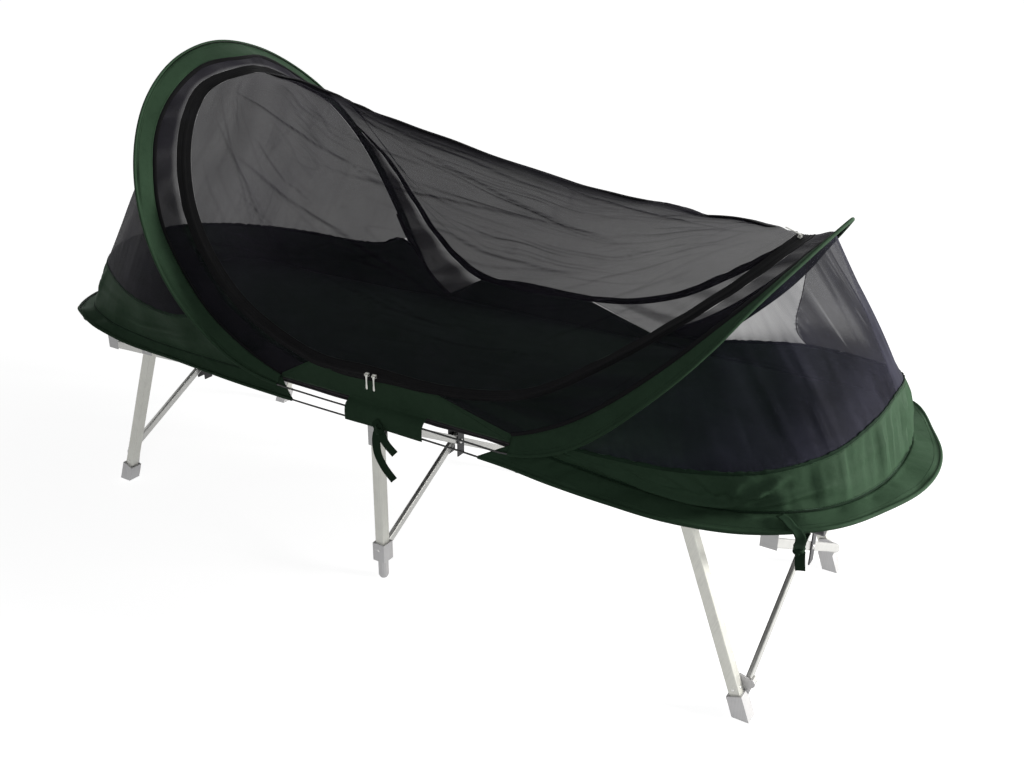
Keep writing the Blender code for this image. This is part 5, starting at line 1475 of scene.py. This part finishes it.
def build_bed_cloth(materials):
    """The stretched bed cloth with a pocket round each rail and each end bar."""
    radius = RAIL_RADIUS + POCKET_EASE + BED_CLOTH / 2
    top = RAIL_Z + radius
    end = RAIL_LENGTH / 2 + GAP - RAIL_CAP_LENGTH - POCKET_CLEARANCE
    notch_start = END_PIVOT_X - EAR_WIDTH / 2 - NOTCH_MARGIN
    notch_end = BRACE_X + EAR_WIDTH / 2 + NOTCH_MARGIN
    middle = EAR_WIDTH / 2 + NOTCH_MARGIN
    stops = [-end, -notch_end, -notch_start, -middle, middle, notch_start, notch_end, end]
    cup_edge = RAIL_Y - RAIL_RADIUS - GAP - RAIL_CAP_WALL - POCKET_CLEARANCE
    xs = np.concatenate([np.linspace(a, b, 12)[:-1] for a, b in zip(stops, stops[1:])] + [[end]])
    cross = np.linspace(-cup_edge, cup_edge, 25)
    edge = np.linspace(cup_edge, RAIL_Y, 4)[1:]
    ys = np.r_[np.linspace(-RAIL_Y, -cup_edge, 4)[:-1], cross, edge]
    grids = [np.array([[(x, y, top) for y in ys] for x in xs])]
    grids += pocket_grids(-1, stops, radius) + pocket_grids(1, stops, radius)
    bar_x = RAIL_LENGTH / 2 - END_BAR_INSET
    wrap = np.radians(np.linspace(90, -135, 22))
    wrapped = [(bar_x + radius * math.cos(a), RAIL_Z + radius * math.sin(a)) for a in wrap]
    flat = [(end + (bar_x - end) * share, top) for share in np.linspace(0, 1, 4)]
    stitch_rows = []
    for sign in SIDES:
        grids += [np.array([[(sign * x, y, z) for x, z in run] for y in cross]) for run in (wrapped, flat)]
        for inset in (0.004, 0.010):
            y, z = sign * (RAIL_Y - RAIL_RADIUS - inset), top + BED_CLOTH / 2
            line = np.array([(x, y, z) for x in np.linspace(-end, end, 60)])
            stitch_rows.append((line, np.array([0.0, 0.0, 1.0]) + np.zeros_like(line)))
    sling = sheet_mesh("bed_sling", grids, BED_CLOTH)
    dress(sling, materials["bed"])
    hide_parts("bed_cloth")
    thread = stitches("bed_sling_stitching", stitch_rows)
    dress(thread, materials["thread_black"])


def ribbon_parts(points, wide_direction, width, first):
    """A soft ribbon with rounded edges and a slightly cupped section."""
    line = smooth_curve(points, RIBBON_STEPS)
    tangent = unit(np.gradient(line, axis=0))
    wide = square_to(tangent, np.array(wide_direction, float) + np.zeros_like(line))
    thin = np.cross(tangent, wide)
    along = lengths(line)
    vertices, uvs = [], []
    for i in range(RIBBON_STEPS):
        for p, q in RIBBON_SECTION:
            cup = RIBBON_CURL * (p**2) * (1 if i > 2 else 0.3)
            offset = wide[i] * p * width / 2 + thin[i] * (q * RIBBON_THICKNESS / 2 + cup)
            vertices.append(line[i] + offset)
            uvs.append((along[i], (p + 1) * width / 2))
    return vertices, ring_faces(RIBBON_STEPS, len(RIBBON_SECTION), first), uvs


def knot_parts(centre, size, seed):
    """A tight overhand knot: a flattened coil of the tie round itself."""
    rng = np.random.default_rng(seed)
    turns = np.linspace(0, 2 * math.pi * 1.8, 46)
    wobble = rng.normal(0, 0.03, len(turns))
    line = np.stack(
        [
            centre[0] + size[0] * (0.62 + wobble) * np.cos(turns),
            centre[1] + size[1] * 0.62 * np.sin(turns),
            centre[2] + size[2] * (0.55 * np.sin(turns * 0.5 + 0.4) + 0.15 * np.cos(turns * 2)),
        ],
        axis=1,
    )
    return tube_parts(line, (size[1] * 0.40, size[2] * 0.44))


def build_ties(materials):
    """The two cloth ties that hold the tent to the bed."""
    for number, (name, (held_by, knot, size, width, tails)) in enumerate(TIES.items()):
        whole = knot_parts(knot, size, 200 + number)
        for points, wide in tails:
            gather(whole, ribbon_parts(points, wide, width, len(whole[0])))
        obj = outward(add_mesh(f"{name}_ribbon", *whole))
        dress(obj, materials["tie"])
        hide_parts(name)


# Fittings


def slider_places():
    """Each slider's matrix on the zip, and the side that its pull hangs to."""
    places = {}
    for name, x in zip(ENDS, SLIDER_X):
        at = (x, -(ZIP_SIDE[0][1] + CLOTH / 2 + SLIDE_GAP), ZIP_SIDE[0][2])
        places[name] = (Matrix.Translation(at), 1)
    crease = Vector(ZIP_FOOT[-1])
    up_roof = (Vector(RIDGE_FOOT[-1]) - crease).normalized()
    along = Vector((0, 1, 0))
    normal = up_roof.cross(along).normalized()
    if normal.z < 0:
        normal = -normal
    matrix = Matrix((along, -normal, along.cross(-normal))).transposed().to_4x4()
    matrix.translation = crease + normal * (CLOTH / 2 + SLIDE_GAP) + up_roof * SLIDER_TOP_INSET
    places["top"] = (matrix, -1)
    return places


def slider_body(matrix, pivot_y):
    """A slider's two wings, the post between them and the fork for the pull's pin."""
    length, depth, height = SLIDER_SIZE
    far, high = length / 2, height / 2
    boxes = [
        ((-far, -depth * 0.34, -high), (far, 0, high), 0.0006),
        ((-far, -depth, -high), (far, -depth * 0.62, high), 0.0007),
        ((-0.0012, -depth * 0.8, -0.0030), (0.0012, -depth * 0.2, 0.0030), 0.0003),
    ]
    near = PULL_SIZE[0] / 2 + SLIDE_GAP
    for start, stop in ((-far, -near), (near, far)):
        boxes.append(((start, pivot_y - 0.0016, -0.0022), (stop, -depth * 0.8, 0.0022), 0.0004))
    return [solid_box(*box, matrix) for box in boxes]


def slider_pull(matrix, pivot_y, pull_side):
    """A long tapered pull and its pin."""
    width, thick, reach = PULL_SIZE
    start, far = pull_side * 0.0012, -pull_side * reach
    work = bmesh.new()
    rings = []
    for share, wide in PULL_OUTLINE:
        half, z = wide * width / 2, start + (far - start) * share
        corners = [(-half, -thick / 2), (half, -thick / 2), (half, thick / 2), (-half, thick / 2)]
        rings.append([work.verts.new((x, pivot_y + y, z)) for x, y in corners])
    bridge(work, rings)
    work.faces.new(rings[0])
    work.faces.new(list(reversed(rings[-1])))
    bmesh.ops.recalc_face_normals(work, faces=work.faces)
    pin = SLIDER_SIZE[0] / 2
    low, high = (-pin, pivot_y - PIN_RADIUS, -PIN_RADIUS), (pin, pivot_y + PIN_RADIUS, PIN_RADIUS)
    return [rounded(work, 0.00025, matrix), solid_box(low, high, 0.0002, matrix)]


def build_sliders(materials):
    """Zip sliders with rounded wings and a fork, and their long tapered pulls."""
    pivot_y = -(SLIDER_SIZE[1] + SLIDE_GAP + PULL_SIZE[1] / 2 + 0.0006)
    for name, (matrix, pull_side) in slider_places().items():
        body = join_bmeshes(f"slider_{name}_body", slider_body(matrix, pivot_y))
        dress(body, materials["zip_metal"], f"slider_{name}")
        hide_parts(f"zip_slider_{name}")
        pull = join_bmeshes(f"slider_{name}_tab", slider_pull(matrix, pivot_y, pull_side))
        dress(pull, materials["zip_metal"], f"pull_{name}")
        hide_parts(f"zip_slider_{name}_pull")


def add_rivets(name, body, heads, materials):
    """Rivet heads in one piece, each with its place, direction and size."""
    works = [rivet(at, direction, *size) for at, direction, size in heads]
    dress(join_bmeshes(name, works), materials["rivet"], body)


def build_rivets(materials):
    """Rivet heads at the leg pivots, the feet and the brace crossings."""
    outer = LEG_Y + LEG_WIDTH / 2 + GAP + PLATE
    shoe_side = LEG_Y + LEG_WIDTH / 2 + GAP + FOOT_WALL
    depth = BRACE_DEPTH + BRACE_SPLIT / 2 + GAP + HUB_PLATE
    level = (BRACE_PIN_Z + BRACE_HIGH_Z) / 2
    for name, end in (("head", -1), ("foot", 1)):
        pivot_x = end * END_PIVOT_X
        heads = [((pivot_x, side * outer, END_PIVOT_Z), (0, side, 0), PIVOT_RIVET) for side in SIDES]
        add_rivets(f"{name}_pivot_rivets", TENT, heads, materials)
        down = Vector((end * math.sin(LEAN), 0, -math.cos(LEAN)))
        out = Vector((end * math.cos(LEAN), 0, math.sin(LEAN)))
        high = Vector((end * END_FOOT_X, 0, 0)) - down * (FOOT_HEIGHT * 1.32)
        heads = []
        for side in SIDES:
            heads.append((high + Vector((0, side * (LEG_Y + LEG_WIDTH / 2), 0)), (0, side, 0), LEG_RIVET))
            heads.append((high + out * (LEG_WIDTH / 2) + Vector((0, side * LEG_Y, 0)), out, LEG_RIVET))
        add_rivets(f"{name}_leg_rivets", f"{name}_legs", heads, materials)
        heads = [((end * BRACE_X + side * depth, 0, level), (side, 0, 0), HUB_BOLT) for side in SIDES]
        add_rivets(f"{name}_hub_bolts", f"{name}_braces", heads, materials)
    heads = [((0, side * outer, MIDDLE_PIVOT_Z), (0, side, 0), PIVOT_RIVET) for side in SIDES]
    add_rivets("middle_pivot_rivets", TENT, heads, materials)
    level = ((COLLAR_BOTTOM + COLLAR_TOP) / 2 + BRACE_HIGH_Z) / 2
    heads = []
    for side in SIDES:
        heads.append(((side * depth, 0, level), (side, 0, 0), HUB_BOLT))
        heads.append(((0, side * shoe_side, COLLAR_BOTTOM + 0.030), (0, side, 0), COLLAR_RIVET))
    add_rivets("middle_frame_rivets", "middle_legs", heads, materials)


def bevel_node(name, width):
    """Rounds a CAD node's hard edges."""
    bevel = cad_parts[name].modifiers.new("Edges", "BEVEL")
    bevel.width = width
    bevel.segments = 2
    bevel.limit_method = "ANGLE"
    bevel.angle_limit = math.radians(50)
    bevel.harden_normals = False


def dress_frame(materials):
    """Materials of the bed's hard parts."""
    for side in ("near", "far"):
        redress(f"rail_{side}", materials["tube_x"])
    for end in ENDS:
        redress(f"end_bar_{end}", materials["dark_plastic"])
    for end, lean in (("head", LEAN), ("middle", 0.0), ("foot", -LEAN)):
        legs = metal_material(f"leg_metal_{end}", (0.68, 0.68, 0.63), 0.42, lean, "Z", 0.55)
        for side in ("near", "far"):
            redress(f"{end}_leg_{side}", legs)
            redress(f"{end}_shoe_{side}", materials["shoe"])
            bevel_node(f"{end}_shoe_{side}", SHOE_EDGE)
            redress(f"{end}_brace_{side}", materials["brace"])
            redress(f"{end}_bracket_{side}", materials["steel"])
        redress(f"{end}_brace_hub", materials["dark_plastic"])


def make_materials():
    """All materials by name."""
    black, grey = (0.012, 0.012, 0.013), (0.68, 0.68, 0.63)
    return {
        "green": cloth_material("green_polyester", (0.045, 0.086, 0.050)),
        "groundsheet": cloth_material("groundsheet", (0.075, 0.125, 0.090), 0.7, 0.0011, 0.35),
        "tie": cloth_material("tie_cloth", (0.024, 0.048, 0.028), 0.7, 0.0008, 0.2),
        "bed": cloth_material("bed_polyester", (0.034, 0.031, 0.035), 0.75, 0.0012, 0.2, 0.15),
        "door_net": net_material("door_net", 0.735),
        "strip_net": net_material("strip_net", 0.68, turn=0.5),
        "end_net_head": net_material("end_net_head", 0.70, NET_BLACK, END_NET_LINES, 0.0),
        "end_net_foot": net_material("end_net_foot", 0.44, (0.026, 0.026, 0.040), END_NET_LINES, 0.0),
        "seam": tape_material("net_seam_thread", (0.050, 0.028, 0.030), 0.001),
        "dark_seam": tape_material("dark_green_seam", (0.010, 0.024, 0.013), 0.001),
        "tape": tape_material("black_binding"),
        "zip_tape": tape_material("zip_tape", rib=0.0018, coil=True),
        "thread": tape_material("green_thread", (0.036, 0.069, 0.040), 0.0006),
        "thread_black": tape_material("black_thread", black, 0.0006),
        "wire": metal_material("coated_wire", black, 0.4, metallic=0.0),
        "tube_x": metal_material("rail_metal", grey, 0.40, axis="X", metallic=0.6),
        "brace": metal_material("brace_metal", (0.56, 0.56, 0.54), 0.38, axis="Y", metallic=0.7),
        "steel": metal_material("zinc_plate", (0.34, 0.34, 0.34), 0.40, axis="X", metallic=0.8),
        "rivet": metal_material("rivet_metal", (0.60, 0.60, 0.58), 0.32, metallic=0.9, lines=0.1),
        "zip_metal": metal_material("zip_metal", (0.50, 0.50, 0.47), 0.30, lines=0.1),
        "shoe": metal_material("shoe_finish", (0.60, 0.595, 0.60), 0.5, metallic=0.5, lines=0.1),
        "dark_plastic": plastic_material("dark_plastic", (0.03, 0.03, 0.034)),
    }


def main():
    bpy.context.scene.view_settings.view_transform = "Standard"
    build_camera()
    build_studio()
    materials = make_materials()
    lines = tent_lines()
    build_hoops(lines, materials)
    build_flanges("sleeve", lines, materials)
    build_flanges("brim", lines, materials)
    build_skirts(lines, materials)
    build_end_nets(materials)
    build_corner_patches(materials)
    build_strip_nets(lines, materials)
    build_zip(lines, materials)
    build_door_net(lines, materials)
    build_side_bands(materials)
    build_tent_floor(lines, materials)
    build_bed_cloth(materials)
    build_ties(materials)
    build_sliders(materials)
    build_rivets(materials)
    dress_frame(materials)


main()
